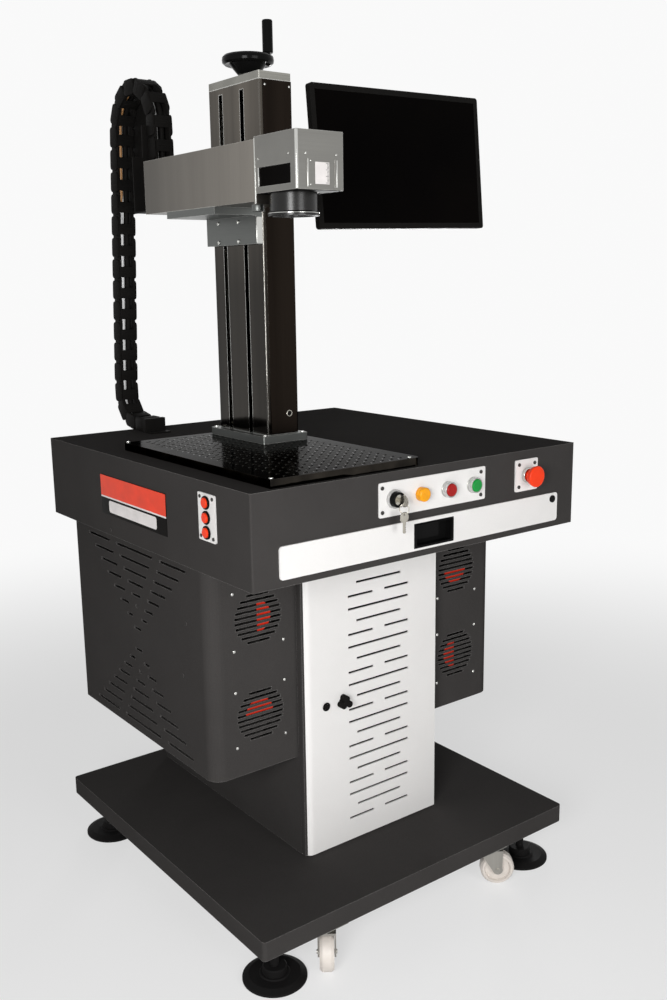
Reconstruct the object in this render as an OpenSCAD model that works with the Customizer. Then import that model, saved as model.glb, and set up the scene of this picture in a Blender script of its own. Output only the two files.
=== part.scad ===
// Desk-type laser marking machine: base with feet and castors, cabinet, fan boxes,
// desk with drawer and switches, work plate, column with a hand-driven lift,
// marking arm and head, energy chain and a screen on a swivel arm.
// Front is -Y, up is +Z, left is -X. The floor is at z = 0. All lengths in mm.

/* [Base] */
// Width of the base and the desk
base_w = 750; // [600:1:900]
// Depth of the base and the desk
base_d = 766; // [640:1:900]
// Thickness of the base
base_t = 36; // [24:1:50]
// Gap from the floor to the underside of the base
base_lift = 89; // [86:1:110]
// Cut on the vertical corners of the base
base_corner = 8; // [2:1:20]
// Thickness of folded sheet
sheet_t = 3; // [2:0.5:4]

/* [Feet] */
// Radius of a foot pad
foot_pad_r = 58; // [40:1:70]
// Height of a foot pad
foot_pad_h = 11; // [6:1:16]
// Radius of the ball housing on a foot
foot_hub_r = 22; // [16:1:26]
// Radius of a foot stud
foot_stud_r = 8; // [6:0.5:10]
// Distance of a foot's centre from the base's edges
foot_inset = 60; // [55:1:80]
// How far a foot screws out
foot_travel = 20; // [10:1:24]

/* [Castors] */
// Radius of a castor wheel
castor_wheel_r = 34; // [30:1:36]
// Width of a castor wheel
castor_wheel_w = 26; // [18:1:30]
// Distance from a castor's swivel to its wheel's axle
castor_trail = 20; // [16:1:24]
// Gap from the floor to a castor wheel while the feet carry
castor_air = 3; // [1:0.5:6]
// Free space between a turning castor and a levelling foot
castor_foot_air = 7; // [5:0.5:20]
// How much further in the right castors stand than the left ones
castor_right_in = 28; // [0:1:40]
// Distance of a castor's top plate from the base's front or rear edge
castor_edge = 3; // [0:0.5:10]
// Radius of a castor's axle
castor_axle_r = 4; // [3:0.5:6]

/* [Cabinet] */
// Height from the base to the underside of the desk
cabinet_h = 610; // [500:1:700]
// Width of the middle cabinet
cabinet_w = 324; // [280:1:360]
// Distance of the cabinet's front from the desk's front
cabinet_set_back = 184; // [150:1:220]
// Distance of the cabinet's rear from the desk's rear
cabinet_rear_gap = 41; // [20:1:80]
// Width of the flange round the cabinet's opening
cabinet_flange = 20; // [12:1:30]
// Height of a fan box
wing_h = 407; // [360:1:450]
// Width of a fan box
wing_w = 185; // [160:1:200]
// Radius of a fan box's outer front edge
wing_edge_r = 27; // [10:1:35]
// Distance between rows of side louvres
louvre_pitch = 22.5; // [20:0.5:26]
// Height of a louvre slot
louvre_h = 5; // [3:0.5:7]

/* [Fans] */
// Side of a fan frame
fan_size = 120; // [100:1:130]
// Depth of a fan frame
fan_depth = 25; // [20:1:38]
// Radius of a fan's hub
fan_hub_r = 32; // [24:1:36]
// Number of blades of a fan
fan_blades = 7; // [5:1:9]
// Distance of a fan's centre from the cabinet's middle plane
fan_x = 244.5; // [235:0.5:255]
// Height of the lower fans' centre above the fan boxes' underside
fan_low = 109; // [70:1:120]
// Distance from a lower fan to the fan above it
fan_pitch = 184; // [140:1:200]
// Distance between the rows of a fan grille
grille_pitch = 9.7; // [8:0.1:12]

/* [Door] */
// Width of the door
door_w = 328; // [300:1:350]
// Depth of the door pan
door_depth = 18; // [14:1:22]
// Gap above and below the door
door_gap = 3; // [2:0.5:5]
// Radius of the door's free vertical edge
door_edge_r = 17; // [8:1:17]
// Distance between rows of door slots
door_slot_pitch = 25.2; // [22:0.1:28]
// Height of a door slot
door_slot_h = 4.5; // [3:0.5:6]
// Half the length of a long door slot
door_slot_half = 75.5; // [60:0.5:90]
// Radius of a door pivot pin
door_pin_r = 3; // [2:0.5:4]
// Height of the latch knob above the door's foot
knob_z = 299; // [200:1:400]

/* [Desk] */
// Height of the desk housing
desk_h = 158.5; // [130:0.5:190]
// Width of the drawer front
drawer_w = 651; // [500:1:680]
// Height of the drawer front
drawer_h = 55; // [40:1:70]
// Height of the drawer front's lower edge above the desk's underside
drawer_z = 12.5; // [8:0.5:16]
// Depth of the drawer tray
drawer_len = 420; // [300:1:500]
// Width of the handle cup
cup_w = 90; // [60:1:110]
// Height of the handle cup
cup_h = 43; // [30:1:48]
// Depth of the handle cup
cup_depth = 20; // [12:1:26]

/* [Switches] */
// Width of the switch plate
panel_w = 250; // [240:1:300]
// Height of the switch and stop plates
panel_h = 60; // [50:1:70]
// Thickness of the switch, stop and side plates
panel_t = 2.5; // [1.5:0.5:4]
// Distance between switches
switch_pitch = 62; // [40:1:70]
// Radius of a switch cap
switch_cap_r = 11.5; // [9:0.5:13]
// Radius of a switch ring
switch_ring_r = 14.5; // [14:0.5:18]
// Travel of a switch
switch_travel = 3; // [1:0.5:4]
// Radius of the stop button's head
stop_r = 20; // [16:1:24]
// Distance from the desk's front to the face of the stop button
stop_reach = 30; // [26:1:40]
// Radius of a side button's cap
side_cap_r = 8.5; // [6:0.5:9]
// Distance between side buttons
side_pitch = 25; // [24:1:34]

/* [Work plate] */
// Width of the work plate
work_w = 313; // [250:1:330]
// Depth of the work plate
work_d = 500; // [420:1:520]
// Thickness of the work plate
work_t = 15; // [10:1:25]
// Radius of the work plate's right corners
work_corner = 13; // [4:1:20]
// Distance of the corner screws from the work plate's edges
work_screw_inset = 8; // [6:1:16]
// Radius of the corner screw holes
work_hole_r = 2.75; // [2:0.25:4]

/* [Column] */
// Width of the column
column_w = 70; // [60:1:90]
// Depth of the column
column_d = 172; // [150:1:200]
// Height of the column over its base plate
column_h = 637.5; // [560:0.5:720]
// Wall of the column
column_wall = 6; // [4:0.5:8]
// Thickness of the column's base plate
column_base_t = 14; // [10:1:20]
// Thickness of the column's cap
cap_t = 13; // [8:1:20]
// Width of a slot in the column
slot_w = 12.6; // [10:0.1:14]
// Distance between the two slots
slot_pitch = 72; // [60:1:80]
// Radius of a guide rail
rail_r = 8; // [6:0.5:9]
// Radius of the lead screw
screw_r = 8; // [6:0.5:9]

/* [Lift] */
// Height of the arm's underside above the floor
arm_z = 1338; // [1300:1:1360]
// Width of the arm
arm_w = 100; // [80:1:110]
// Length of the arm
arm_len = 386; // [330:1:420]
// Height of the arm
arm_h = 98; // [80:1:120]
// Width of the marking head
head_w = 92; // [80:1:100]
// Length of the marking head
head_len = 119; // [100:1:140]
// Height of the marking head
head_h = 90; // [80:1:100]
// Radius of the lens rim
lens_rim_r = 42.5; // [35:0.5:45]
// Height of the lens
lens_h = 37; // [25:1:45]
// Height of the grey carriage plate
carriage_h = 49; // [40:1:60]
// Thickness of the carriage plate
carriage_t = 14; // [10:1:16]

/* [Handwheel] */
// Radius of the handwheel
wheel_r = 48; // [40:1:60]
// Height of the handwheel
wheel_h = 33; // [24:1:40]
// Radius on which the handle stands
crank_r = 37; // [30:1:40]
// Direction of the handle at rest, from +X
crank_turn = -37.3; // [-180:0.1:180]
// Radius of the handle
grip_r = 9.75; // [8:0.25:12]
// Length of the handle
grip_len = 57; // [40:1:80]

/* [Screen] */
// Width of the screen
screen_w = 441; // [380:1:500]
// Height of the screen
screen_h = 266; // [220:1:300]
// Thickness of the screen's edge
screen_t = 13; // [10:1:20]
// Width of the bezel
bezel_w = 11; // [6:1:16]
// Distance of the screen's middle to the right of the desk's middle
screen_x = 225; // [200:1:260]
// Distance of the screen's front before the desk's middle
screen_y = 48; // [20:1:80]
// Height of the screen's middle
screen_z = 1441; // [1380:1:1480]
// Turn of the screen about the vertical
screen_yaw = 0.6; // [-5:0.1:5]
// Backward lean of the screen
screen_tilt = 4.2; // [0:0.1:10]
// Droop of the screen's left side
screen_roll = 1.2; // [-2:0.1:2]
// Thickness of the screen arm
link_t = 12; // [8:1:16]
// Height of the screen arm
link_h = 40; // [30:1:50]

/* [Energy chain] */
// Width of the chain
chain_w = 42; // [30:1:50]
// Thickness of the chain
chain_t = 30; // [20:1:36]
// Number of links
chain_links = 25; // [20:1:30]
// Radius of the lower bend, at the chain's middle
chain_low_r = 60; // [50:1:75]
// Radius of the upper bend, at the chain's middle
chain_top_r = 82; // [70:1:90]
// Height of the upper bend's centre
chain_top_z = 1513; // [1480:1:1540]

/* [Hidden] */

$fn = 64;
// Overrun of a cut past the face it leaves
over = 1;
// Radial clearance of a shaft in its hole
fit = 0.05;
// Gap between faces that move past each other
gap = 0.3;
// Steps of a rounded corner
corner_steps = 8;

// Heights of the main levels
base_top = base_lift + base_t;
desk_z = base_top + cabinet_h;
desk_top = desk_z + desk_h;
work_top = desk_top + work_t;
column_z = work_top + column_base_t;
column_top = column_z + column_h;
cap_top = column_top + cap_t;

// Faces of the desk, the cabinet and the fan boxes
front_y = -base_d / 2;
rear_y = base_d / 2;
left_x = -base_w / 2;
cab_front = front_y + cabinet_set_back;
cab_rear = rear_y - cabinet_rear_gap;
cab_side = cabinet_w / 2;
wing_side = cab_side + wing_w;
wing_set_back = 5;
wing_front = cab_front + wing_set_back;
wing_z = desk_z - wing_h;

// Feet and castors
foot_bore_depth = base_t - 2 * sheet_t;
foot_boss_h = 12;
foot_boss_wall = 7;
foot_boss_r = foot_stud_r + foot_boss_wall;
foot_stud_top = base_lift + foot_bore_depth - gap;
foot_hub_h = 26;
castor_plate_t = 4;
castor_plate_w = 62;
castor_race_h = 6;
castor_race_r = 22;
castor_head_t = 4.5;
castor_head_r = 20;
castor_leg_t = 3;
castor_leg_gap = 0.6;
castor_king_r = 6;
castor_king_head_r = 7.5;
castor_king_head_t = 2.4;
castor_eye_r = 10;
castor_plate_z = base_lift - castor_plate_t;
castor_race_z = castor_plate_z - castor_race_h;
castor_head_z = castor_race_z - gap - castor_head_t;
castor_axle_z = castor_air + castor_wheel_r;
castor_leg_y = castor_wheel_w / 2 + castor_leg_gap;
castor_turns = [-127, -37, -127, -60];
corner_signs = [[-1, -1], [1, -1], [-1, 1], [1, 1]];
foot_places = [for (s = corner_signs) [s[0] * (base_w / 2 - foot_inset), s[1] * (base_d / 2 - foot_inset)]];
// a turning wheel comes nearest to a foot at half the height of the foot's pad
castor_low = sqrt(castor_wheel_r * castor_wheel_r - pow(castor_axle_z - foot_pad_h / 2, 2));
castor_sweep = norm([castor_trail + castor_low, castor_wheel_w / 2]);
castor_y = base_d / 2 - castor_plate_w / 2 - castor_edge;
castor_from_foot = foot_pad_r + castor_sweep + castor_foot_air;
castor_dy = castor_y - (base_d / 2 - foot_inset);
castor_x = base_w / 2 - foot_inset - sqrt(castor_from_foot * castor_from_foot - castor_dy * castor_dy);
castor_places = [for (s = corner_signs) [s[0] > 0 ? castor_x - castor_right_in : -castor_x, s[1] * castor_y]];
castor_eye_from = 200;
castor_eye_to = 390;

// Fan boxes: the louvres form two triangles that meet in the middle of the side
louvre_rows = 8;
louvre_shift = 8;
louvre_mid_y = (cab_front + cab_rear) / 2 + louvre_shift;
louvre_edge = 20;
louvre_out = 200;
louvre_out_step = 26.5;
louvre_in = 75;
louvre_in_step = 14.2;
louvre_web = 29;
fan_open_r = 50;
fan_bore_r = 57;
fan_spoke_w = 8;
fan_hub_lip = 2;
rotor_hub_r = fan_hub_r - fan_hub_lip;
fan_back_t = 3;
fan_spoke_t = 2;
fan_pin_r = 3;
fan_air = 1.5;
fan_blade_t = 2.2;
fan_blade_turn = 38;
grille_rows = 10;
grille_slot_h = 5;
fan_screw_r = 2.2;
fan_screw_half = 52.5;
fan_centres = [for (s = [-1, 1]) for (k = [1, 0]) [s * fan_x, wing_z + fan_low + k * fan_pitch]];

// Door: a pan that turns on two pins near its right edge
door_z0 = base_top + door_gap;
door_h = cabinet_h - 2 * door_gap;
door_air = 2;
door_front = cab_front - door_depth - door_air;
door_back = door_front + door_depth;
door_right = door_w / 2 - gap;
door_left = door_right - door_w;
pivot_x = door_right - 2 * door_pin_r;
pivot_depth = 10;
pivot_wall = 5;
pivot_y = door_front + pivot_depth;
pivot_back = pivot_y + pivot_wall;
pin_len = door_gap + 2 * sheet_t;
door_slot_rows = 20;
door_slot_top = 79;
door_slot_x = 15.5;
door_slot_web = 28;
door_mid_share = 0.735;
lock_r = 7;
lock_out = 2;
lock_x = -116;
knob_x = -75;
knob_shaft_r = 4;
knob_head_r = 9;
knob_head_t = 14;
knob_lobe_r = 6.5;
knob_lobe_out = 11;
knob_cam_len = 75;
knob_cam_w = 14;
knob_cam_t = 2;
cam_gap = 8;
cam_y = cab_front + sheet_t + cam_gap;

// Desk: the drawer runs on two rails
drawer_mid_x = 0.5;
drawer_corner = 6;
drawer_face_t = 3;
front_lap_x = 11;
front_lap_z = 4.5;
tray_room = 25.5;
opening_w = drawer_w - 2 * front_lap_x;
opening_h = drawer_h - 2 * front_lap_z;
tray_w = drawer_w - 2 * tray_room;
tray_h = 38;
tray_wall = 2;
runner_t = 2;
runner_d = 12;
runner_up = 30;
drawer_back = front_y - gap;
drawer_front_y = drawer_back - drawer_face_t;
tray_lift = 8.5;
tray_z = desk_z + drawer_z + tray_lift;
cup_x = 5;
cup_lift = 26;
cup_mid_z = desk_z + drawer_z + cup_lift;
cup_wall = 2.5;
cup_lip = 0.5;
cup_clear = 0.2;
drawer_lock_x = 311;
drawer_lock_drop = 11.5;

// Switch plate, stop plate and side plate
panel_lift = 112;
panel_z = desk_z + panel_lift;
panel_x = 3.5;
panel_corner = 3;
stop_x = 238.5;
switch_x0 = -89.5;
ring_h = 9;
cap_out = 5;
push_air = 1;
cap_back = panel_t + switch_travel + push_air;
cap_reach = ring_h + cap_out - switch_travel - push_air;
cap_edge = 1.5;
lamp_r = 12.5;
lamp_h = 13;
key_plug_r = 9;
key_ring_h = 5;
key_ring_lip = 0.5;
key_body_r = 13;
key_body_h = 12;
key_t = 2;
key_bow_r = 10;
key_hole_r = 2.2;
key_neck = 5;
key_neck_w = 8;
wire_r = 0.9;
ring_r = 8;
key_blade_len = 24;
key_blade_w = 7;
// the ring hangs in the key's hole, and the spare key hangs in the ring
key_bow_out = panel_t + key_body_h + key_neck + key_bow_r;
key_hole_drop = key_bow_r - 2 * key_hole_r;
wire_y = front_y - key_bow_out;
wire_z = panel_z - key_hole_drop - key_hole_r + wire_r + gap;
spare_hole_z = wire_z - 2 * ring_r - (key_hole_r - wire_r - gap);
stop_collar_r = 14.5;
stop_collar_h = 8;
stop_stem_r = 9;
stop_head_t = 10;
stop_waist_r = 14;
stop_travel = 4;
side_plate_w = 53;
side_plate_h = 80;
side_y = 255.5;
side_z = 100;
side_ring_r = 11.5;
side_ring_h = 6;
side_cap_out = 8.5;
side_travel = 1.5;
side_air = 0.5;
side_edge = 1;

// Column and lift
column_mid_x = -92;
column_mid_y = 20.5;
slot_mid_y = 28;
slot_end = 12;
column_base_side = 16;
column_base_front = 9;
collar_r = 14;
collar_h = 7;
carriage_drop = 63;
carriage_z = arm_z - carriage_drop;
shelf_t = 12.5;
shelf_gap = 0.5;
web_w = slot_w - 2 * gap;
block_w = 40;
block_d = 100;
block_h = 38;
column_left = column_mid_x - column_w / 2;
column_front = column_mid_y - column_d / 2;
column_back = column_mid_y + column_d / 2;
rail_ys = [slot_mid_y - slot_pitch / 2, slot_mid_y + slot_pitch / 2];
arm_right = column_left;
arm_left = arm_right - arm_w;
arm_front = -196;
arm_back = arm_front + arm_len;
head_lift = 12;
head_z = arm_z + head_lift;
arm_lip = 4;
arm_lip_t = 3;
head_left = arm_left;
head_front = arm_front - head_len;
lens_x = head_left + head_w / 2;
lens_ahead = 45;
lens_y = arm_front - lens_ahead;
window_front = 16;
window_len = 90;
window_low = 10;
window_h = 30.5;
window_depth = 3;
slit_w = 2.5;
slit_h = 42;
slit_low = 4;
slit_out = 1;
slit_inset = 20;
work_from_left = 46;
work_from_front = 11;
work_x = left_x + work_from_left + work_w / 2;
work_y = front_y + work_from_front + work_d / 2;
work_left_corner = 3;
fixture_r = 2.5;
fixture_pitch = 20;
fixture_span = 8 * fixture_pitch;
fixture_edge = 13.5;
fixture_mid_y = fixture_edge - work_d / 2 + 6 * fixture_pitch;

// Handwheel
wheel_z = cap_top + collar_h + gap;
boss_r = 11;
spindle_r = 4;
spindle_short = 7;
wheel_shares = [[0, 0], [0.4, 0], [0.73, 0.55], [0.9, 0.52], [0.985, 0.62], [1, 0.75],
    [0.985, 0.9], [0.92, 1], [0.8, 1], [0.66, 0.82], [0.28, 0.78], [0.24, 0.95], [0, 0.95]];

// Screen arm
bracket_t = 5;
bracket_w = 50;
bracket_h = 84;
ear_t = 6;
knuckle_r = 12;
lug_r = 10;
swivel_pin_r = 5;
swivel_out = 22;
swivel_y = 30;
tilt_out = 24;
tilt_pin_r = 4;
tilt_ear_t = 6;
lug_w = 40;
yoke_gap = 13;
yoke_t = 6;
yoke_edge = 1.5;
yoke_half_h = 12.5;
screen_glass_t = 1.2;
screen_corner = 6;
case_bulge = 10;
case_bulge_inset = 70;
swivel_x = column_left + column_w + swivel_out;
link_drop = 6;
link_z = screen_z - link_h / 2 - link_drop;

// Energy chain: flat run, lower bend, leaning rear strand, upper bend, front strand
chain_x = -169;
chain_start_y = 318;
chain_low_y = 376;
chain_top_y = 308;
chain_start_z = desk_top + chain_t / 2 + gap;
chain_low_z = chain_start_z + chain_low_r;
chain_nose_share = 0.4;
chain_foot_lift = 5;
chain_end_z = arm_z + chain_foot_lift + sheet_t + gap + chain_nose_share * chain_t / 2;
chain_side_t = 4;
chain_bar_t = 3;
chain_bar_w = 20;
chain_lap = 0.5;
foot_channel_len = 12;
foot_plate_len = 36;
upright_wide_h = 107;
upright_h = 168;
upright_narrow_w = 60;
plate_side_gap = 5;
upright_air = 3.5;
chain_dy = chain_top_y - chain_low_y;
chain_dz = chain_top_z - chain_low_z;
chain_far = norm([chain_dy, chain_dz]);
chain_lean = atan2(chain_dz, chain_dy) - acos((chain_low_r - chain_top_r) / chain_far);
chain_flat = chain_low_y - chain_start_y;
chain_arc1 = chain_low_r * (90 + chain_lean) * PI / 180;
chain_line = sqrt(chain_far * chain_far - pow(chain_low_r - chain_top_r, 2));
chain_arc2 = chain_top_r * (180 - chain_lean) * PI / 180;
chain_drop = chain_top_z - chain_end_z;
chain_total = chain_flat + chain_arc1 + chain_line + chain_arc2 + chain_drop;

// The row's origin is the middle of the whole machine's footprint, on the floor
reach_left = base_w / 2 + side_cap_out;
reach_right = screen_x + screen_w / 2;
reach_front = base_d / 2 + key_bow_out + key_bow_r;
reach_rear = chain_low_y + chain_low_r + chain_t / 2;
origin_x = (reach_right - reach_left) / 2;
origin_y = (reach_rear - reach_front) / 2;

// Points of an arc, from angle a0 to a1
function arc(cx, cy, r, a0, a1, n = corner_steps) =
    [for (i = [0 : n]) let (a = a0 + (a1 - a0) * i / n) [cx + r * cos(a), cy + r * sin(a)]];

// Outline of a rectangle with round corners, about its middle
function round_rect(w, d, r) = concat(
    arc(w / 2 - r, d / 2 - r, r, 0, 90),
    arc(r - w / 2, d / 2 - r, r, 90, 180),
    arc(r - w / 2, r - d / 2, r, 180, 270),
    arc(w / 2 - r, r - d / 2, r, 270, 360));

// Outline of a bar with round ends, from [0, 0] to [len, 0]
function stadium(len, r) = concat(arc(len, 0, r, -90, 90), arc(0, 0, r, 90, 270));

module placed() {
    translate([-origin_x, -origin_y, 0]) children();
}

// A block between two corners
module block(lo, hi) {
    translate(lo) cube(hi - lo);
}

// A plate with round vertical edges, standing on z = 0
module slab(w, d, t, r) {
    linear_extrude(t) polygon(round_rect(w, d, r));
}

// Children stand on the desk's front, with their +Z outwards and +Y up
module on_front(x, z) {
    translate([x, front_y, z]) rotate([90, 0, 0]) children();
}

// Children stand on the desk's left side, with their +Z outwards and +X up
module on_left(y, z) {
    translate([left_x, y, z]) rotate([0, -90, 0]) children();
}

// Children lie in the screen's own frame: +X to its right, +Y to its back, +Z up
module at_screen() {
    translate([screen_x, -screen_y, screen_z]) rotate([0, 0, screen_yaw])
        rotate([-screen_tilt, 0, 0]) rotate([0, -screen_roll, 0]) children();
}

module tube(h, r_out, r_in) {
    difference() {
        cylinder(h, r = r_out);
        translate([0, 0, -over]) cylinder(h + 2 * over, r = r_in);
    }
}

module base_slab() {
    color("#3a3837") difference() {
        union() {
            translate([0, 0, base_lift]) slab(base_w, base_d, base_t, base_corner);
            for (p = foot_places)
                translate([p[0], p[1], base_lift - foot_boss_h])
                    cylinder(foot_boss_h + over, r = foot_boss_r);
            translate([pivot_x, pivot_y, base_top - over]) cylinder(pin_len + over, r = door_pin_r);
        }
        for (p = foot_places)
            translate([p[0], p[1], base_lift - foot_boss_h - over])
                cylinder(foot_bore_depth + foot_boss_h + over, r = foot_stud_r + fit);
    }
}

module foot(k) {
    ring_t = 2;
    color("#141414") translate([foot_places[k][0], foot_places[k][1], 0]) {
        rotate_extrude() polygon([
            [0, 0], [foot_pad_r - ring_t, 0], [foot_pad_r, ring_t], [foot_pad_r, foot_pad_h / 2],
            [foot_pad_r * 0.8, foot_pad_h], [foot_hub_r + 3 * ring_t, foot_pad_h],
            [foot_hub_r + 2 * ring_t, foot_pad_h + ring_t], [foot_hub_r, foot_pad_h + ring_t],
            [foot_hub_r, foot_hub_h - ring_t], [foot_hub_r - ring_t, foot_hub_h],
            [foot_stud_r, foot_hub_h], [foot_stud_r, foot_stud_top - foot_travel / 10],
            [foot_stud_r - ring_t / 2, foot_stud_top], [0, foot_stud_top]]);
        translate([0, 0, base_lift - foot_boss_h - gap - foot_stud_r])
            cylinder(foot_stud_r, r = 1.7 * foot_stud_r, $fn = 6);
    }
}

module castor_plates() {
    color("#8d8d88") for (p = castor_places) translate([p[0], p[1], 0]) {
        translate([0, 0, castor_plate_z])
            slab(castor_plate_w, castor_plate_w, castor_plate_t, 2 * castor_plate_t);
        translate([0, 0, castor_race_z]) cylinder(castor_race_h + over, r = castor_race_r);
        translate([0, 0, castor_head_z - gap]) cylinder(castor_race_h + castor_head_t, r = castor_king_r);
        translate([0, 0, castor_head_z - gap - castor_king_head_t])
            cylinder(castor_king_head_t, r = castor_king_head_r);
    }
}

module at_castor(k) {
    translate([castor_places[k][0], castor_places[k][1], 0]) rotate([0, 0, castor_turns[k]]) children();
}

module castor_fork(k) {
    leg = concat(
        [[-castor_head_r * 0.6, castor_head_z + castor_head_t],
            [-castor_head_r * 0.6, castor_head_z - castor_head_t]],
        arc(castor_trail, castor_axle_z, castor_eye_r, castor_eye_from, castor_eye_to),
        [[castor_trail + castor_eye_r, castor_head_z + castor_head_t]]);
    color("#77766f") at_castor(k) {
        difference() {
            union() {
                translate([0, 0, castor_head_z]) cylinder(castor_head_t, r = castor_head_r);
                for (s = [-1, 1])
                    translate([0, s * (castor_leg_y + castor_leg_t / 2) + castor_leg_t / 2, 0])
                        rotate([90, 0, 0]) linear_extrude(castor_leg_t) polygon(leg);
                translate([-castor_head_r * 0.6, -castor_leg_y - castor_leg_t, castor_head_z])
                    cube([castor_trail + castor_eye_r + castor_head_r * 0.6,
                        2 * (castor_leg_y + castor_leg_t), castor_head_t]);
            }
            translate([0, 0, castor_head_z - over])
                cylinder(castor_head_t + 2 * over, r = castor_king_r + fit);
        }
        translate([castor_trail, 0, castor_axle_z]) rotate([90, 0, 0])
            cylinder(2 * (castor_leg_y + castor_leg_t) + castor_axle_r, r = castor_axle_r, center = true);
    }
}

module castor_wheel(k) {
    half = castor_wheel_w / 2;
    dish = castor_wheel_w / 5;
    color("#e6dccb") at_castor(k) translate([castor_trail, 0, castor_axle_z]) rotate([90, 0, 0])
        rotate_extrude() polygon([
            [castor_axle_r + fit, -half], [castor_wheel_r * 0.32, -half],
            [castor_wheel_r * 0.36, dish - half], [castor_wheel_r * 0.72, dish - half],
            [castor_wheel_r * 0.78, -half], [castor_wheel_r * 0.9, -half],
            [castor_wheel_r, -half * 0.6], [castor_wheel_r, half * 0.6],
            [castor_wheel_r * 0.9, half], [castor_wheel_r * 0.78, half],
            [castor_wheel_r * 0.72, half - dish], [castor_wheel_r * 0.36, half - dish],
            [castor_wheel_r * 0.32, half], [castor_axle_r + fit, half]]);
}

module pedestal() {
    color("#3a3837") difference() {
        block([-cab_side, cab_front, base_top], [cab_side, cab_rear, desk_z]);
        block([sheet_t - cab_side, cab_front + sheet_t, base_top + sheet_t],
            [cab_side - sheet_t, cab_rear - sheet_t, desk_z - sheet_t]);
        block([cabinet_flange - cab_side, cab_front - over, base_top + cabinet_flange],
            [cab_side - cabinet_flange, cab_front + sheet_t + over, desk_z - cabinet_flange]);
    }
}

module laser_source() {
    box_w = 0.62 * cabinet_w;
    box_d = 0.72 * (cab_rear - cab_front);
    box_h = 0.2 * cabinet_h;
    fin_n = 9;
    fin_h = box_h / 8;
    color("#b9bbbb") translate([0, (cab_front + cab_rear) / 2, base_top + sheet_t]) {
        slab(box_w, box_d, box_h, sheet_t);
        for (i = [0 : fin_n - 1])
            translate([(i - (fin_n - 1) / 2) * box_w / fin_n - sheet_t / 2, -box_d / 2 + fin_h, box_h])
                cube([sheet_t, box_d - 2 * fin_h, fin_h]);
    }
}

// A fan box on the right, seen from above: its outer front edge is round
function wing_outline(inset) = concat(
    [[cab_side + inset, cab_rear - inset], [cab_side + inset, wing_front + inset]],
    arc(wing_side - wing_edge_r, wing_front + wing_edge_r, wing_edge_r - inset, 270, 360),
    [[wing_side - inset, cab_rear - inset]]);

// Slots of the louvre field: row i of the upper or lower triangle
module louvre_row(i, z) {
    half = louvre_out - louvre_out_step * i;
    mid = louvre_in - louvre_in_step * i;
    y0 = mid + louvre_web;
    if (i < louvre_rows - 1)
        for (s = [-1, 1])
            translate([wing_side - sheet_t - over, louvre_mid_y + (s > 0 ? y0 : -half), z - louvre_h / 2])
                cube([sheet_t + 2 * over, half - y0, louvre_h]);
    if (mid > 0)
        translate([wing_side - sheet_t - over, louvre_mid_y - mid, z - louvre_h / 2])
            cube([sheet_t + 2 * over, 2 * mid, louvre_h]);
    if (i == louvre_rows - 1)
        translate([wing_side - sheet_t - over, louvre_mid_y - louvre_web / 2, z - louvre_h / 2])
            cube([sheet_t + 2 * over, louvre_web, louvre_h]);
}

module grille(x, z) {
    for (i = [0 : grille_rows - 1]) {
        dz = (i - (grille_rows - 1) / 2) * grille_pitch;
        half = sqrt(fan_open_r * fan_open_r - dz * dz);
        translate([x - half, wing_front - over, z + dz - grille_slot_h / 2])
            cube([2 * half, sheet_t + 2 * over, grille_slot_h]);
    }
}

module right_box() {
    difference() {
        translate([0, 0, wing_z]) linear_extrude(wing_h) polygon(wing_outline(0));
        translate([0, 0, wing_z + sheet_t]) linear_extrude(wing_h - 2 * sheet_t)
            polygon(wing_outline(sheet_t));
        for (i = [0 : louvre_rows - 1]) {
            louvre_row(i, desk_z - 1.4 * louvre_edge - i * louvre_pitch);
            louvre_row(i, wing_z + louvre_edge + i * louvre_pitch);
        }
        for (k = [0, 1]) grille(fan_x, wing_z + fan_low + k * fan_pitch);
    }
}

module left_wing() {
    color("#3a3837") mirror([1, 0, 0]) right_box();
}

module right_wing() {
    color("#3a3837") right_box();
}

// Children stand at a fan's centre, behind the grille, with their +Z to the rear
module at_fan(k) {
    translate([fan_centres[k][0], wing_front + sheet_t, fan_centres[k][1]]) rotate([-90, 0, 0]) children();
}

module fan_frames() {
    color("#1c1c1c") for (k = [0 : 3]) at_fan(k) {
        difference() {
            slab(fan_size, fan_size, fan_depth, sheet_t);
            translate([0, 0, -over]) cylinder(fan_depth + 2 * over, r = fan_bore_r);
            for (sx = [-1, 1], sy = [-1, 1])
                translate([sx * fan_screw_half, sy * fan_screw_half, -over])
                    cylinder(fan_depth + 2 * over, r = fan_screw_r);
        }
        translate([0, 0, fan_depth - fan_back_t]) cylinder(fan_back_t, r = fan_hub_r);
        for (a = [45, 135]) rotate([0, 0, a])
            translate([-fan_bore_r - over, -fan_spoke_w / 2, fan_depth - fan_spoke_t - gap])
                cube([2 * (fan_bore_r + over), fan_spoke_w, fan_spoke_t]);
        translate([0, 0, 2 * fan_air + sheet_t]) cylinder(fan_depth - 3 * fan_air - sheet_t, r = fan_pin_r);
    }
}

module fan_rotor(k) {
    rotor_h = fan_depth - fan_back_t - 2 * fan_air;
    color("#262626") at_fan(k) translate([0, 0, fan_air]) {
        difference() {
            cylinder(rotor_h + fan_air - gap, r = rotor_hub_r);
            translate([0, 0, sheet_t]) cylinder(fan_depth, r = fan_pin_r + fit);
        }
        intersection() {
            for (i = [0 : fan_blades - 1]) rotate([0, 0, i * 360 / fan_blades])
                translate([rotor_hub_r - over, 0, rotor_h / 2]) rotate([fan_blade_turn, 0, 0])
                    translate([0, -rotor_h, -fan_blade_t / 2]) cube([fan_size / 2, 2 * rotor_h, fan_blade_t]);
            cylinder(rotor_h, r = fan_bore_r - fan_air);
        }
    }
}

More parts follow.
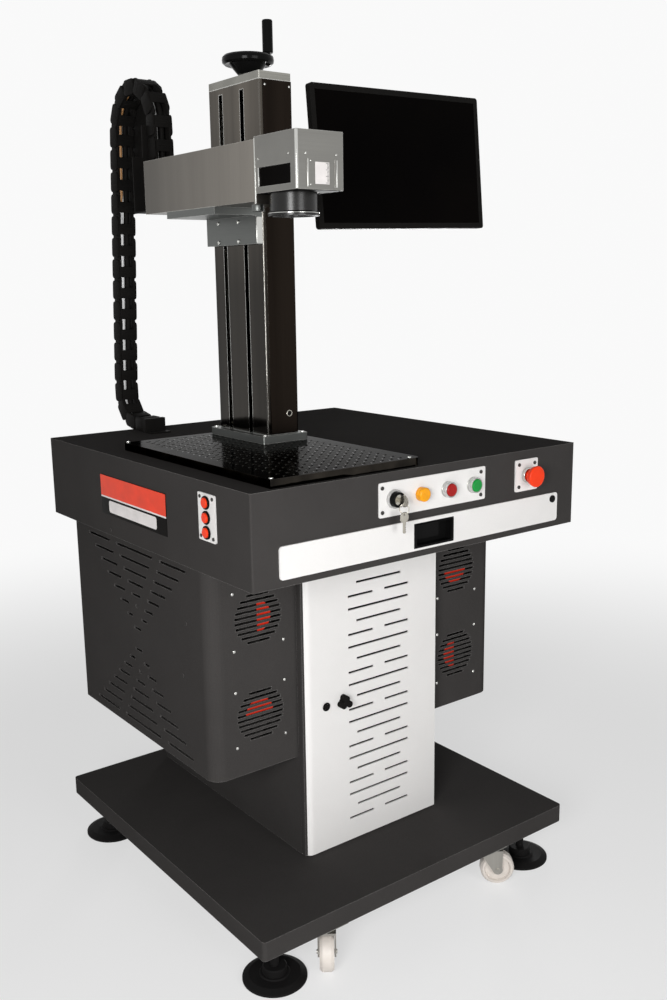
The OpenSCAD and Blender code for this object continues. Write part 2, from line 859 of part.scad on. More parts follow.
// Outline of the door pan from above, with its free edge round
function door_outline(inset) = concat(
    [[door_right - inset, door_back + (inset > 0 ? over : 0)],
        [door_left + inset, door_back + (inset > 0 ? over : 0)]],
    arc(door_left + door_edge_r, door_front + door_edge_r, door_edge_r - inset, 180, 270),
    [[door_right - inset, door_front + inset]]);

module door_slot(x0, x1, z) {
    translate([x0, door_front - over, z - door_slot_h / 2]) cube([x1 - x0, sheet_t + 2 * over, door_slot_h]);
}

module door_slots() {
    for (i = [0 : door_slot_rows - 1]) {
        z = desk_z - door_gap - door_slot_top - i * door_slot_pitch;
        half = door_slot_half * (i % 3 == 0 ? door_mid_share : 1);
        if (i % 3 == 1) {
            door_slot(door_slot_x - half, door_slot_x - door_slot_web / 2, z);
            door_slot(door_slot_x + door_slot_web / 2, door_slot_x + half, z);
        } else {
            door_slot(door_slot_x - half, door_slot_x + half, z);
        }
    }
}

module door() {
    color("#e8e6e4") {
        difference() {
            translate([0, 0, door_z0]) linear_extrude(door_h) polygon(door_outline(0));
            translate([0, 0, door_z0 + sheet_t]) linear_extrude(door_h - 2 * sheet_t)
                polygon(door_outline(sheet_t));
            door_slots();
            // the returns beside the pins are shallow, so that the door clears the cabinet as it turns
            block([pivot_x, pivot_back, door_z0 - over],
                [door_right + over, door_back + over, door_z0 + door_h + over]);
            for (z = [door_z0, door_z0 + door_h - sheet_t])
                translate([pivot_x, pivot_y, z - over]) cylinder(sheet_t + 2 * over, r = door_pin_r + fit);
            translate([knob_x, door_front - over, base_top + knob_z]) rotate([-90, 0, 0])
                cylinder(sheet_t + 2 * over, r = knob_shaft_r + fit);
        }
        translate([lock_x, door_front + over, base_top + knob_z]) rotate([90, 0, 0])
            cylinder(lock_out + over, r = lock_r);
    }
}

module door_knob() {
    color("#161616") translate([knob_x, 0, base_top + knob_z]) {
        translate([0, door_front - gap, 0]) rotate([90, 0, 0]) {
            cylinder(knob_head_t * 0.4, r = knob_head_r);
            for (a = [90 : 120 : 330]) rotate([0, 0, a]) translate([knob_lobe_out * 0.7, 0, 0])
                cylinder(knob_head_t, r = knob_lobe_r);
            cylinder(knob_head_t, r = knob_lobe_r);
        }
        translate([0, cam_y + knob_cam_t, 0]) rotate([90, 0, 0])
            cylinder(cam_y + knob_cam_t - door_front + over, r = knob_shaft_r);
        translate([0, cam_y + knob_cam_t, 0]) rotate([90, 0, 0]) rotate([0, 0, -90])
            linear_extrude(knob_cam_t) polygon(stadium(knob_cam_len, knob_cam_w / 2));
    }
}

module desk_housing() {
    z0 = desk_z + drawer_z + (drawer_h - opening_h) / 2;
    color("#3a3837") {
        difference() {
            translate([0, 0, desk_z]) slab(base_w, base_d, desk_h, sheet_t);
            translate([0, 0, desk_z + sheet_t])
                slab(base_w - 2 * sheet_t, base_d - 2 * sheet_t, desk_h - 2 * sheet_t, sheet_t / 2);
            block([drawer_mid_x - opening_w / 2, front_y - over, z0],
                [drawer_mid_x + opening_w / 2, front_y + sheet_t + over, z0 + opening_h]);
        }
        translate([pivot_x, pivot_y, desk_z - pin_len]) cylinder(pin_len + over, r = door_pin_r);
    }
}

module drawer_runners() {
    x_in = tray_w / 2 + gap;
    x_out = x_in + runner_d;
    x_web = x_out - runner_t;
    z0 = desk_z + sheet_t;
    z1 = tray_z + runner_up;
    color("#9a9a96") for (s = [0, 1]) translate([drawer_mid_x, front_y + sheet_t + drawer_len, 0])
        mirror([s, 0, 0]) rotate([90, 0, 0]) linear_extrude(drawer_len)
            polygon([[x_out, z0], [x_out, z1], [x_in, z1], [x_in, z1 - runner_t], [x_web, z1 - runner_t],
                [x_web, tray_z + runner_t], [x_in, tray_z + runner_t], [x_in, tray_z], [x_web, tray_z],
                [x_web, z0]]);
}

module drawer_front() {
    color("#e8e6e4") {
        difference() {
            translate([drawer_mid_x, drawer_back, desk_z + drawer_z + drawer_h / 2]) rotate([90, 0, 0])
                slab(drawer_w, drawer_h, drawer_face_t, drawer_corner);
            translate([cup_x, drawer_back + over, cup_mid_z]) rotate([90, 0, 0])
                slab(cup_w + 2 * cup_clear, cup_h + 2 * cup_clear, drawer_face_t + 2 * over,
                    drawer_corner / 2);
        }
    }
}

module drawer_tray() {
    color("#55534f") difference() {
        block([drawer_mid_x - tray_w / 2, drawer_back, tray_z],
            [drawer_mid_x + tray_w / 2, drawer_back + drawer_len - sheet_t, tray_z + tray_h]);
        block([drawer_mid_x - tray_w / 2 + tray_wall, drawer_back + tray_wall, tray_z + tray_wall],
            [drawer_mid_x + tray_w / 2 - tray_wall, drawer_back + drawer_len - sheet_t - tray_wall,
                tray_z + tray_h + over]);
        block([cup_x - cup_w / 2 - cup_clear, drawer_back - over, tray_z - over],
            [cup_x + cup_w / 2 + cup_clear, drawer_back + cup_depth, tray_z + tray_h + over]);
    }
}

module drawer_handle() {
    color("#161616") {
        translate([cup_x, drawer_front_y - cup_lip, cup_mid_z]) rotate([-90, 0, 0]) difference() {
            slab(cup_w, cup_h, cup_depth, drawer_corner / 2);
            translate([0, 0, -over]) slab(cup_w - 2 * cup_wall, cup_h - 2 * cup_wall,
                cup_depth - cup_wall + over, drawer_corner / 4);
        }
        translate([drawer_lock_x, drawer_front_y, desk_z + drawer_z + drawer_h - drawer_lock_drop])
            rotate([90, 0, 0]) cylinder(lock_out, r = lock_r);
    }
}

module control_plates() {
    color("#e8e6e4") {
        on_front(panel_x, panel_z) slab(panel_w, panel_h, panel_t, panel_corner);
        on_front(stop_x, panel_z) slab(panel_h, panel_h, panel_t, panel_corner);
        on_left(-side_y, desk_z + side_z) slab(side_plate_h, side_plate_w, panel_t, panel_corner);
    }
}

// A ring round a push button, with its front edge cut back
module switch_ring(r_out, r_in, h) {
    rotate_extrude() polygon([[r_in, 0], [r_out, 0], [r_out, h * 0.8], [r_out - h * 0.2, h], [r_in, h]]);
}

module control_bezels() {
    color("#c9c9c6") {
        on_front(switch_x0, panel_z) translate([0, 0, panel_t]) {
            tube(key_ring_h, switch_ring_r + key_ring_lip, key_body_r);
            tube(key_body_h, key_body_r, key_plug_r + fit);
        }
        for (k = [2, 3]) on_front(switch_x0 + k * switch_pitch, panel_z) translate([0, 0, panel_t])
            switch_ring(switch_ring_r, switch_cap_r + fit, ring_h);
        on_front(stop_x, panel_z) translate([0, 0, panel_t])
            switch_ring(stop_collar_r, stop_stem_r + fit, stop_collar_h);
        for (k = [-1 : 1]) on_left(-side_y, desk_z + side_z + k * side_pitch) translate([0, 0, panel_t])
            switch_ring(side_ring_r, side_cap_r + fit, side_ring_h - panel_t);
    }
}

module amber_lamp() {
    color("#f0960c") on_front(switch_x0 + switch_pitch, panel_z) translate([0, 0, panel_t])
        rotate_extrude() polygon(concat([[0, 0], [lamp_r, 0]],
            arc(lamp_r - lamp_h / 4, lamp_h * 0.75, lamp_h / 4, 0, 90), [[0, lamp_h]]));
}

module push_cap(reach) {
    translate([0, 0, cap_back]) rotate_extrude() polygon([[0, 0], [switch_cap_r, 0],
        [switch_cap_r, reach - cap_edge], [switch_cap_r - cap_edge, reach], [0, reach]]);
}

module red_button() {
    color("#8c0f0c") on_front(switch_x0 + 2 * switch_pitch, panel_z) push_cap(cap_reach);
}

module green_button() {
    color("#0c8a3c") on_front(switch_x0 + 3 * switch_pitch, panel_z) push_cap(cap_reach);
}

module stop_button() {
    back = panel_t + stop_travel + push_air;
    color("#d8281c") on_front(stop_x, panel_z) rotate_extrude() polygon(concat(
        [[0, back], [stop_stem_r, back], [stop_stem_r, stop_reach - 1.5 * stop_head_t],
            [stop_waist_r, stop_reach - 1.2 * stop_head_t], [stop_r * 0.9, stop_reach - stop_head_t]],
        arc(stop_r - stop_head_t / 4, stop_reach - stop_head_t / 4, stop_head_t / 4, 0, 90),
        [[0, stop_reach]]));
}

module side_button(k) {
    back = panel_t + side_travel + side_air;
    color("#b8201c") on_left(-side_y, desk_z + side_z + (k - 1) * side_pitch)
        rotate_extrude() polygon([[0, back], [side_cap_r, back], [side_cap_r, side_cap_out - side_edge],
            [side_cap_r - side_edge, side_cap_out], [0, side_cap_out]]);
}

module switch_key() {
    color("#b4b2ac") on_front(switch_x0, panel_z) {
        translate([0, 0, panel_t + gap]) cylinder(key_body_h, r = key_plug_r);
        translate([key_t / 2, 0, key_bow_out]) rotate([0, -90, 0]) linear_extrude(key_t) difference() {
            union() {
                circle(key_bow_r);
                translate([-key_neck - key_bow_r, -key_neck_w / 2])
                    square([key_neck + key_bow_r, key_neck_w]);
            }
            translate([0, -key_hole_drop]) circle(key_hole_r);
        }
    }
}

module spare_key() {
    color("#b4b2ac") {
        translate([switch_x0, wire_y, wire_z - ring_r]) rotate([90, 0, 0]) rotate_extrude()
            translate([ring_r, 0]) circle(wire_r, $fn = 16);
        translate([switch_x0 - key_t / 2, wire_y, spare_hole_z - key_hole_drop]) rotate([90, 0, 90])
            linear_extrude(key_t) difference() {
                union() {
                    circle(key_bow_r);
                    translate([-key_blade_w / 2, -key_blade_len - key_bow_r])
                        square([key_blade_w, key_blade_len + key_bow_r]);
                }
                translate([0, key_hole_drop]) circle(key_hole_r);
            }
    }
}

module work_plate() {
    color("#171717") translate([work_x, work_y, desk_top]) difference() {
        linear_extrude(work_t) polygon(concat(
            arc(work_w / 2 - work_corner, work_d / 2 - work_corner, work_corner, 0, 90),
            arc(work_left_corner - work_w / 2, work_d / 2 - work_left_corner, work_left_corner, 90, 180),
            arc(work_left_corner - work_w / 2, work_left_corner - work_d / 2, work_left_corner, 180, 270),
            arc(work_w / 2 - work_corner, work_corner - work_d / 2, work_corner, 270, 360)));
        for (sx = [-1, 1], sy = [-1, 1])
            translate([sx * (work_w / 2 - work_screw_inset), sy * (work_d / 2 - work_screw_inset), -over])
                cylinder(work_t + 2 * over, r = work_hole_r);
        for (sx = [-1, 1], sy = [-1, 1])
            translate([sx * fixture_span / 2 - fixture_pitch, fixture_mid_y + sy * fixture_span / 2, -over])
                cylinder(work_t + 2 * over, r = fixture_r);
    }
}

module column_base() {
    color("#8f8f8c") translate([column_mid_x, column_mid_y, work_top])
        slab(column_w + 2 * column_base_side, column_d + 2 * column_base_front, column_base_t, sheet_t);
}

module column() {
    color("#9c9a96") difference() {
        translate([column_mid_x, column_mid_y, column_z]) slab(column_w, column_d, column_h, sheet_t);
        translate([column_mid_x, column_mid_y, column_z - over])
            slab(column_w - 2 * column_wall, column_d - 2 * column_wall, column_h + 2 * over, sheet_t);
        for (y = rail_ys)
            block([column_left - over, y - slot_w / 2, column_z + gap],
                [column_left + column_wall + over, y + slot_w / 2, column_top - slot_end]);
    }
}

module column_cap() {
    color("#c4c4c0") translate([column_mid_x, column_mid_y, column_top]) {
        difference() {
            slab(column_w, column_d, cap_t, sheet_t);
            translate([0, 0, -over]) cylinder(cap_t + 2 * over, r = screw_r + fit);
        }
        translate([0, 0, cap_t]) tube(collar_h, collar_r, screw_r + fit);
    }
}

module guide_rails() {
    color("#cfcfcc") for (y = rail_ys)
        translate([column_mid_x, y, column_z]) cylinder(column_h, r = rail_r);
}

module carriage() {
    block_z = carriage_z + (carriage_h - block_h) / 2;
    color("#8b8d8c") difference() {
        union() {
            block([column_left - gap - carriage_t, column_front, carriage_z],
                [column_left - gap, column_back, carriage_z + carriage_h]);
            block([arm_left, column_front, arm_z - shelf_gap - shelf_t],
                [arm_right - gap, column_back, arm_z]);
            block([column_left - gap - carriage_t, column_front, carriage_z + carriage_h - over],
                [column_left - gap, column_back, arm_z - over]);
            for (y = rail_ys)
                block([column_left - gap - over, y - web_w / 2, block_z],
                    [column_mid_x, y + web_w / 2, block_z + block_h]);
            block([column_mid_x - block_w / 2, slot_mid_y - block_d / 2, block_z],
                [column_mid_x + block_w / 2, slot_mid_y + block_d / 2, block_z + block_h]);
        }
        for (y = rail_ys)
            translate([column_mid_x, y, block_z - over]) cylinder(block_h + 2 * over, r = rail_r + fit);
        translate([column_mid_x, column_mid_y, block_z - over])
            cylinder(block_h + 2 * over, r = screw_r + fit);
    }
}

module laser_arm() {
    color("#8a837a") {
        block([arm_left, arm_front, arm_z], [arm_right - gap, arm_back, arm_z + arm_h]);
        block([arm_left, arm_front, arm_z - arm_lip], [arm_right - gap, arm_front + arm_lip_t, arm_z + over]);
    }
}

module marking_head() {
    slit_xs = [head_left + slit_inset, head_left + head_w - slit_inset + slit_w];
    color("#7e8280") {
        difference() {
            block([head_left, head_front, head_z], [head_left + head_w, arm_front, head_z + head_h]);
            block([head_left - over, head_front + window_front, head_z + window_low],
                [head_left + window_depth, head_front + window_front + window_len,
                    head_z + window_low + window_h]);
        }
        for (x = slit_xs)
            block([x, head_front - slit_out, head_z + slit_low],
                [x + slit_w, head_front + over, head_z + slit_low + slit_h]);
    }
}

module lens_barrel() {
    glass_r = 0.8 * lens_rim_r;
    color("#151515") translate([lens_x, lens_y, head_z - lens_h]) rotate_extrude() polygon(concat(
        [[0, lens_h], [0, lens_h * 0.14]],
        [[glass_r, lens_h * 0.22], [glass_r + sheet_t / 2, 0]],
        [[lens_rim_r - over / 2, 0], [lens_rim_r, over / 2], [lens_rim_r, lens_h * 0.14],
            [0.93 * lens_rim_r, lens_h * 0.2], [0.93 * lens_rim_r, lens_h]]));
}

// The plate behind the arm that carries the moving end of the chain
module chain_plate() {
    foot_z = arm_z + chain_foot_lift;
    x0 = arm_left + plate_side_gap;
    x1 = arm_right - sheet_t;
    strand_y = chain_top_y - chain_top_r;
    back_y = strand_y + chain_t / 2 + upright_air;
    color("#1b1b1b") {
        block([x0, arm_back, foot_z], [x1, back_y + sheet_t, foot_z + sheet_t]);
        block([x0, arm_back, foot_z], [x1, arm_back + sheet_t, arm_z + 0.9 * arm_h]);
        block([x0, back_y, foot_z], [x1, back_y + sheet_t, foot_z + upright_wide_h]);
        block([chain_x - upright_narrow_w / 2, back_y, foot_z],
            [chain_x + upright_narrow_w / 2, back_y + sheet_t, foot_z + upright_h]);
    }
}

module handwheel() {
    color("#171717") translate([column_mid_x, column_mid_y, wheel_z]) {
        rotate_extrude() polygon([for (s = wheel_shares) [s[0] * wheel_r, s[1] * wheel_h]]);
        rotate([0, 0, crank_turn]) translate([crank_r, 0, 0]) {
            translate([0, 0, wheel_h * 0.78]) sphere(boss_r);
            translate([0, 0, wheel_h]) cylinder(grip_len - spindle_short + boss_r * 0.3, r = spindle_r);
        }
    }
}

module lead_screw() {
    color("#c8c8c4") translate([column_mid_x, column_mid_y, column_z + gap])
        cylinder(wheel_z - column_z - gap, r = screw_r);
}

module wheel_grip() {
    z0 = wheel_h * 0.78 + boss_r + gap;
    inner = wheel_h + grip_len - spindle_short + boss_r * 0.3 + gap - z0;
    color("#121212") translate([column_mid_x, column_mid_y, wheel_z]) rotate([0, 0, crank_turn])
        translate([crank_r, 0, z0]) rotate_extrude() polygon([
            [spindle_r + fit, 0], [0.9 * grip_r, 0], [grip_r, grip_r * 0.2],
            [grip_r, grip_len - grip_r * 0.2], [0.9 * grip_r, grip_len], [0, grip_len],
            [0, inner], [spindle_r + fit, inner]]);
}

module screen_bracket() {
    face_x = column_left + column_w;
    color("#2a2a2a") {
        block([face_x, swivel_y - bracket_w / 2, link_z + link_h / 2 - bracket_h / 2],
            [face_x + bracket_t, swivel_y + bracket_w / 2, link_z + link_h / 2 + bracket_h / 2]);
        for (z = [link_z - gap - ear_t, link_z + link_h + gap]) {
            block([face_x + over, swivel_y - knuckle_r, z], [swivel_x, swivel_y + knuckle_r, z + ear_t]);
            translate([swivel_x, swivel_y, z]) cylinder(ear_t, r = knuckle_r);
        }
        translate([swivel_x, swivel_y, link_z - gap - ear_t])
            cylinder(link_h + 2 * (ear_t + gap), r = swivel_pin_r);
    }
}

module screen_link() {
    lug_out = lug_w / 2 + gap;
    end_y = screen_t - screen_y + tilt_out + yoke_gap + (yoke_t + link_t) / 2;
    reach = norm([screen_x - swivel_x, end_y - swivel_y]);
    color("#2a2a2a") {
        difference() {
            union() {
                translate([swivel_x, swivel_y, link_z]) cylinder(link_h, r = knuckle_r);
                translate([swivel_x, swivel_y, link_z + yoke_edge])
                    rotate([0, 0, atan2(end_y - swivel_y, screen_x - swivel_x)])
                    translate([0, -link_t / 2, 0])
                        cube([reach, link_t, link_h - 2 * yoke_edge]);
            }
            translate([swivel_x, swivel_y, link_z - over])
                cylinder(link_h + 2 * over, r = swivel_pin_r + fit);
        }
        at_screen() translate([0, screen_t + tilt_out, 0]) {
            for (s = [-1, 1]) translate([s * (lug_out + tilt_ear_t / 2) - tilt_ear_t / 2, 0, 0])
                rotate([90, 0, 90]) linear_extrude(tilt_ear_t) polygon(concat(
                    arc(0, 0, yoke_half_h, 90, 270, 2 * corner_steps),
                    [[yoke_gap + over, -yoke_half_h], [yoke_gap + over, yoke_half_h]]));
            block([-lug_out - tilt_ear_t - yoke_edge, yoke_gap, -yoke_half_h - yoke_edge],
                [lug_out + tilt_ear_t + yoke_edge, yoke_gap + yoke_t, yoke_half_h + yoke_edge]);
            rotate([0, 90, 0]) cylinder(2 * (lug_out + tilt_ear_t / 2), r = tilt_pin_r, center = true);
        }
    }
}

module monitor_case() {
    color("#1e1e1e") at_screen() {
        difference() {
            translate([0, screen_t, 0]) rotate([90, 0, 0]) slab(screen_w, screen_h, screen_t, screen_corner);
            block([bezel_w - screen_w / 2, -over, bezel_w - screen_h / 2],
                [screen_w / 2 - bezel_w, screen_glass_t + gap, screen_h / 2 - bezel_w]);
        }
        translate([0, screen_t + case_bulge, 0]) rotate([90, 0, 0])
            slab(screen_w - 2 * case_bulge_inset, screen_h - case_bulge_inset, case_bulge + over,
                screen_corner);
        difference() {
            union() {
                translate([0, screen_t + tilt_out, 0]) rotate([0, 90, 0])
                    cylinder(lug_w, r = lug_r, center = true);
                block([-lug_w / 2, screen_t + case_bulge - over, -lug_r],
                    [lug_w / 2, screen_t + tilt_out, lug_r]);
            }
            translate([0, screen_t + tilt_out, 0]) rotate([0, 90, 0])
                cylinder(lug_w + 2 * over, r = tilt_pin_r + fit, center = true);
        }
    }
}

module monitor_screen() {
    color("#05070a") at_screen()
        block([bezel_w - screen_w / 2 + gap, gap, bezel_w - screen_h / 2 + gap],
            [screen_w / 2 - bezel_w - gap, screen_glass_t + gap, screen_h / 2 - bezel_w - gap]);
}

// The chain's middle line in the Y-Z plane, as a point at distance s from its fixed end
function chain_point(s) =
    s < chain_flat ? [chain_start_y + s, chain_start_z] :
    s < chain_flat + chain_arc1 ?
        let (a = -90 + (s - chain_flat) / chain_low_r * 180 / PI)
        [chain_low_y + chain_low_r * cos(a), chain_low_z + chain_low_r * sin(a)] :
    s < chain_flat + chain_arc1 + chain_line ?
        let (t = s - chain_flat - chain_arc1)
        [chain_low_y + chain_low_r * cos(chain_lean) - t * sin(chain_lean),
            chain_low_z + chain_low_r * sin(chain_lean) + t * cos(chain_lean)] :
    s < chain_total - chain_drop ?
        let (a = chain_lean + (s - chain_flat - chain_arc1 - chain_line) / chain_top_r * 180 / PI)
        [chain_top_y + chain_top_r * cos(a), chain_top_z + chain_top_r * sin(a)] :
    [chain_top_y - chain_top_r, chain_top_z - (s - chain_total + chain_drop)];

// One link, lying along +X from one hinge to the next, with its width along Z
module chain_link(len) {
    r = chain_t / 2;
    half = chain_w / 2;
    for (s = [-1, 1]) {
        translate([0, 0, s > 0 ? half - chain_side_t : -half]) linear_extrude(chain_side_t)
            polygon([[0, -r * 0.5], [r * 0.3, -r], [len * 0.62, -r], [len * 0.62, r], [r * 0.3, r],
                [0, r * 0.5]]);
        translate([0, 0, s > 0 ? half - 2 * chain_side_t : chain_side_t - half - chain_lap])
            linear_extrude(chain_side_t + chain_lap)
            polygon([[len * 0.4, -r * 0.85], [len - r * 0.2, -r * 0.85],
                [len + r * chain_nose_share, -r * 0.4], [len + r * chain_nose_share, r * 0.4],
                [len - r * 0.2, r * 0.85], [len * 0.4, r * 0.85]]);
    }
    for (y = [-r, r - chain_bar_t])
        translate([len * 0.3 - chain_bar_w / 2 + chain_bar_t, y, -half + over])
            cube([chain_bar_w, chain_bar_t, chain_w - 2 * over]);
}

module drag_chain() {
    step = chain_total / chain_links;
    color("#151515") for (i = [0 : chain_links - 1]) {
        a = chain_point(i * step);
        b = chain_point((i + 1) * step - over / 100);
        translate([chain_x, a[0], a[1]]) rotate([90, 0, 90]) rotate([0, 0, atan2(b[1] - a[1], b[0] - a[0])])
            chain_link(norm(b - a));
    }
}

module chain_foot() {
    half = chain_w / 2 + sheet_t;
    color("#1b1b1b") {
        block([chain_x - half, chain_start_y - gap - foot_plate_len, desk_top],
            [chain_x + half, chain_start_y - gap, desk_top + sheet_t]);
        block([chain_x - half, chain_start_y - gap - foot_channel_len, desk_top],
            [chain_x + half, chain_start_y - gap, desk_top + chain_t]);
    }
}

placed() {
    base_slab();
    castor_plates();
    foot(0);  // foot_1
    foot(1);  // foot_2
    foot(2);  // foot_3
    foot(3);  // foot_4
    castor_fork(0);  // castor_fork_1
    castor_fork(1);  // castor_fork_2
    castor_fork(2);  // castor_fork_3
    castor_fork(3);  // castor_fork_4
    castor_wheel(0);  // castor_wheel_1
    castor_wheel(1);  // castor_wheel_2
    castor_wheel(2);  // castor_wheel_3
    castor_wheel(3);  // castor_wheel_4
    pedestal();
    laser_source();
    left_wing();
    right_wing();
    fan_frames();
    fan_rotor(0);  // fan_1
    fan_rotor(1);  // fan_2
    fan_rotor(2);  // fan_3
    fan_rotor(3);  // fan_4
    door();
    door_knob();
    desk_housing();
    drawer_runners();
    drawer_front();
    drawer_tray();
    drawer_handle();
    control_plates();
    control_bezels();
    amber_lamp();
    switch_key();
    spare_key();
    red_button();
    green_button();
    stop_button();
    side_button(0);  // side_button_1
    side_button(1);  // side_button_2
    side_button(2);  // side_button_3
    work_plate();
    column_base();
    column();
    column_cap();
    guide_rails();
    carriage();
    laser_arm();
    marking_head();
    lens_barrel();
    chain_plate();
    handwheel();
    lead_screw();
    wheel_grip();
    screen_bracket();
    screen_link();
    monitor_case();
    monitor_screen();
    chain_foot();
    drag_chain();
}
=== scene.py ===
import math

import bpy
from mathutils import Matrix, Vector


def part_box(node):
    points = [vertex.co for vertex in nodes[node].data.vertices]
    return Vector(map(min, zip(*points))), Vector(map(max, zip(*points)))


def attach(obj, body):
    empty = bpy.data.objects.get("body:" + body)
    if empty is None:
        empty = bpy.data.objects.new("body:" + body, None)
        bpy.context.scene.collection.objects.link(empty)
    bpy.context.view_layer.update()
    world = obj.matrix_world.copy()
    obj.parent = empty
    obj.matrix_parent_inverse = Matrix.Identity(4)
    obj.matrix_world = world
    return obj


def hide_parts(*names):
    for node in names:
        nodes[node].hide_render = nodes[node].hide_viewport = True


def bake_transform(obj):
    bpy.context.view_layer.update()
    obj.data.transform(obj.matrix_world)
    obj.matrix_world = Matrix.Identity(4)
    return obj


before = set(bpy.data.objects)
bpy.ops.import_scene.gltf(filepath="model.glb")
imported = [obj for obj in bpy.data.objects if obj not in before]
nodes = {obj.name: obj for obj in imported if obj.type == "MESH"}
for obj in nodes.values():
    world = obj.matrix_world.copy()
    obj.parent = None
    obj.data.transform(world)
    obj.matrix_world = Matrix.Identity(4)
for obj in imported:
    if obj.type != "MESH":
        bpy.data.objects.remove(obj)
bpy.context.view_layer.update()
scene = bpy.context.scene
print("frame loaded:", len(nodes), "CAD nodes")

# Sizes below are in mm from the middle of the desk, as on the machine's drawing, with the floor at 0
deskLow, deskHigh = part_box("desk_housing")
deskMiddle = Vector(((deskLow.x + deskHigh.x) / 2, (deskLow.y + deskHigh.y) / 2, 0))


def at(x, y, z):
    return deskMiddle + Vector((x, y, z)) / 1000


def mm(value):
    return value / 1000


# Camera, light and floor
studio = {
    "cameraPlace": (-1.2386, -1.7012, 1.2128),
    "turn": 37.27, "pitch": -12.08, "roll": -0.79,  # degrees, from +Y towards +X
    "lens": 37.36, "sensor": 36,
    "keyPlace": (-1.95, -1.7, 1.22), "keySize": 0.9, "keyPower": 43,
    "fillPlace": (-0.2, -3.2, 1.05), "fillSize": 1.4, "fillPower": 33,
    "rimPlace": (2.6, 2.6, 0.42), "rimSize": 0.8, "rimPower": 55,
    "ambient": 0.09, "backdrop": 0.95,
    # metres from the middle where the floor turns into the backdrop, and how much of it shows near the machine
    "floorSize": 60, "floorNear": 0.9, "floorFar": 3.0, "floorShare": 0.6,
}


def placeCamera():
    turn, pitch, roll = (math.radians(studio[k]) for k in ("turn", "pitch", "roll"))
    lens = bpy.data.cameras.new("photoCamera")
    lens.lens = studio["lens"]
    lens.sensor_width = lens.sensor_height = studio["sensor"]
    lens.sensor_fit = "VERTICAL"
    camera = bpy.data.objects.new("photoCamera", lens)
    scene.collection.objects.link(camera)
    aim = Matrix.Rotation(-turn, 4, "Z") @ Matrix.Rotation(math.pi / 2 + pitch, 4, "X") @ Matrix.Rotation(roll, 4, "Z")
    camera.matrix_world = Matrix.Translation(studio["cameraPlace"]) @ aim
    scene.camera = camera


def softLight(name, place, size, power):
    lamp = bpy.data.lights.new(name, "AREA")
    lamp.shape, lamp.size, lamp.energy = "DISK", size, power
    lampObject = bpy.data.objects.new(name, lamp)
    scene.collection.objects.link(lampObject)
    aim = Vector((0, 0, 0.85)) - Vector(place)
    lampObject.matrix_world = Matrix.Translation(place) @ aim.to_track_quat("-Z", "Y").to_matrix().to_4x4()


def linear(code):
    # an sRGB hex value as the linear colour that a shader takes
    parts = [int(code[i:i + 2], 16) / 255 for i in (1, 3, 5)]
    return tuple(c / 12.92 if c <= 0.04045 else ((c + 0.055) / 1.055) ** 2.4 for c in parts) + (1,)


def addNode(finish, kind, values=None, links=None, stops=None, **settings):
    # one node with its settings and links, whose sources are sockets, or nodes for their first output;
    # stops are the positions and linear colours of a colour ramp's two ends
    node = finish.node_tree.nodes.new(kind)
    for name, value in settings.items():
        setattr(node, name, value)
    for number, (position, colour) in enumerate(stops or []):
        node.color_ramp.elements[number].position = position
        node.color_ramp.elements[number].color = colour
    for socket, value in (values or {}).items():
        node.inputs[socket].default_value = value
    for socket, source in (links or {}).items():
        if isinstance(source, bpy.types.Node):
            source = next(output for output in source.outputs if output.enabled)
        finish.node_tree.links.new(source, node.inputs[socket])
    return node


def newFinish(name):
    finish = bpy.data.materials.new(name)
    finish.use_nodes = True
    finish.node_tree.nodes.clear()
    return finish


def closeFinish(finish, numbers, colour, gloss, relief=None):
    # the shader, with its plain numbers on its own sockets
    feeds = {"Base Color": colour, "Roughness": gloss}
    if relief:
        feeds["Normal"] = relief
    shader = addNode(finish, "ShaderNodeBsdfPrincipled", numbers, feeds)
    addNode(finish, "ShaderNodeOutputMaterial", links={"Surface": shader})
    return finish


def grey(level):
    return (level, level, level, 1)


def shadeOf(code, share):
    r, g, b, a = linear(code)
    return (r * share, g * share, b * share, a)


def twoTones(low, high, start=0.3, end=0.7):
    return [(start, low), (end, high)]


placeCamera()
for name in ("key", "fill", "rim"):
    softLight(name + "Light", studio[name + "Place"], studio[name + "Size"], studio[name + "Power"])


def seenRays(finish):
    # 1 for what the camera sees, itself, in metal or gloss, or through glass, and 0 for light on the object
    rays = addNode(finish, "ShaderNodeLightPath").outputs
    direct = addNode(finish, "ShaderNodeMath", links={0: rays["Is Camera Ray"], 1: rays["Is Transmission Ray"]},
                     operation="MAXIMUM")
    return addNode(finish, "ShaderNodeMath", links={0: direct, 1: rays["Is Glossy Ray"]}, operation="MAXIMUM")


def lightWorld():
    world = bpy.data.worlds.new("studioWorld")
    scene.world = world
    world.use_nodes = True
    world.node_tree.nodes.clear()
    seen = seenRays(world)
    ambient = addNode(world, "ShaderNodeBackground", {"Color": grey(1), "Strength": studio["ambient"]})
    shown = addNode(world, "ShaderNodeBackground", {"Color": grey(studio["backdrop"]), "Strength": 1})
    both = addNode(world, "ShaderNodeMixShader", links={0: seen, 1: ambient, 2: shown})
    addNode(world, "ShaderNodeOutputWorld", links={"Surface": both})
    scene.view_settings.view_transform = "Standard"


lightWorld()


# Finishes

def objectPlace(finish, scale=(1, 1, 1)):
    place = addNode(finish, "ShaderNodeTexCoord")
    return addNode(finish, "ShaderNodeMapping", {"Scale": scale}, {"Vector": place.outputs["Object"]})


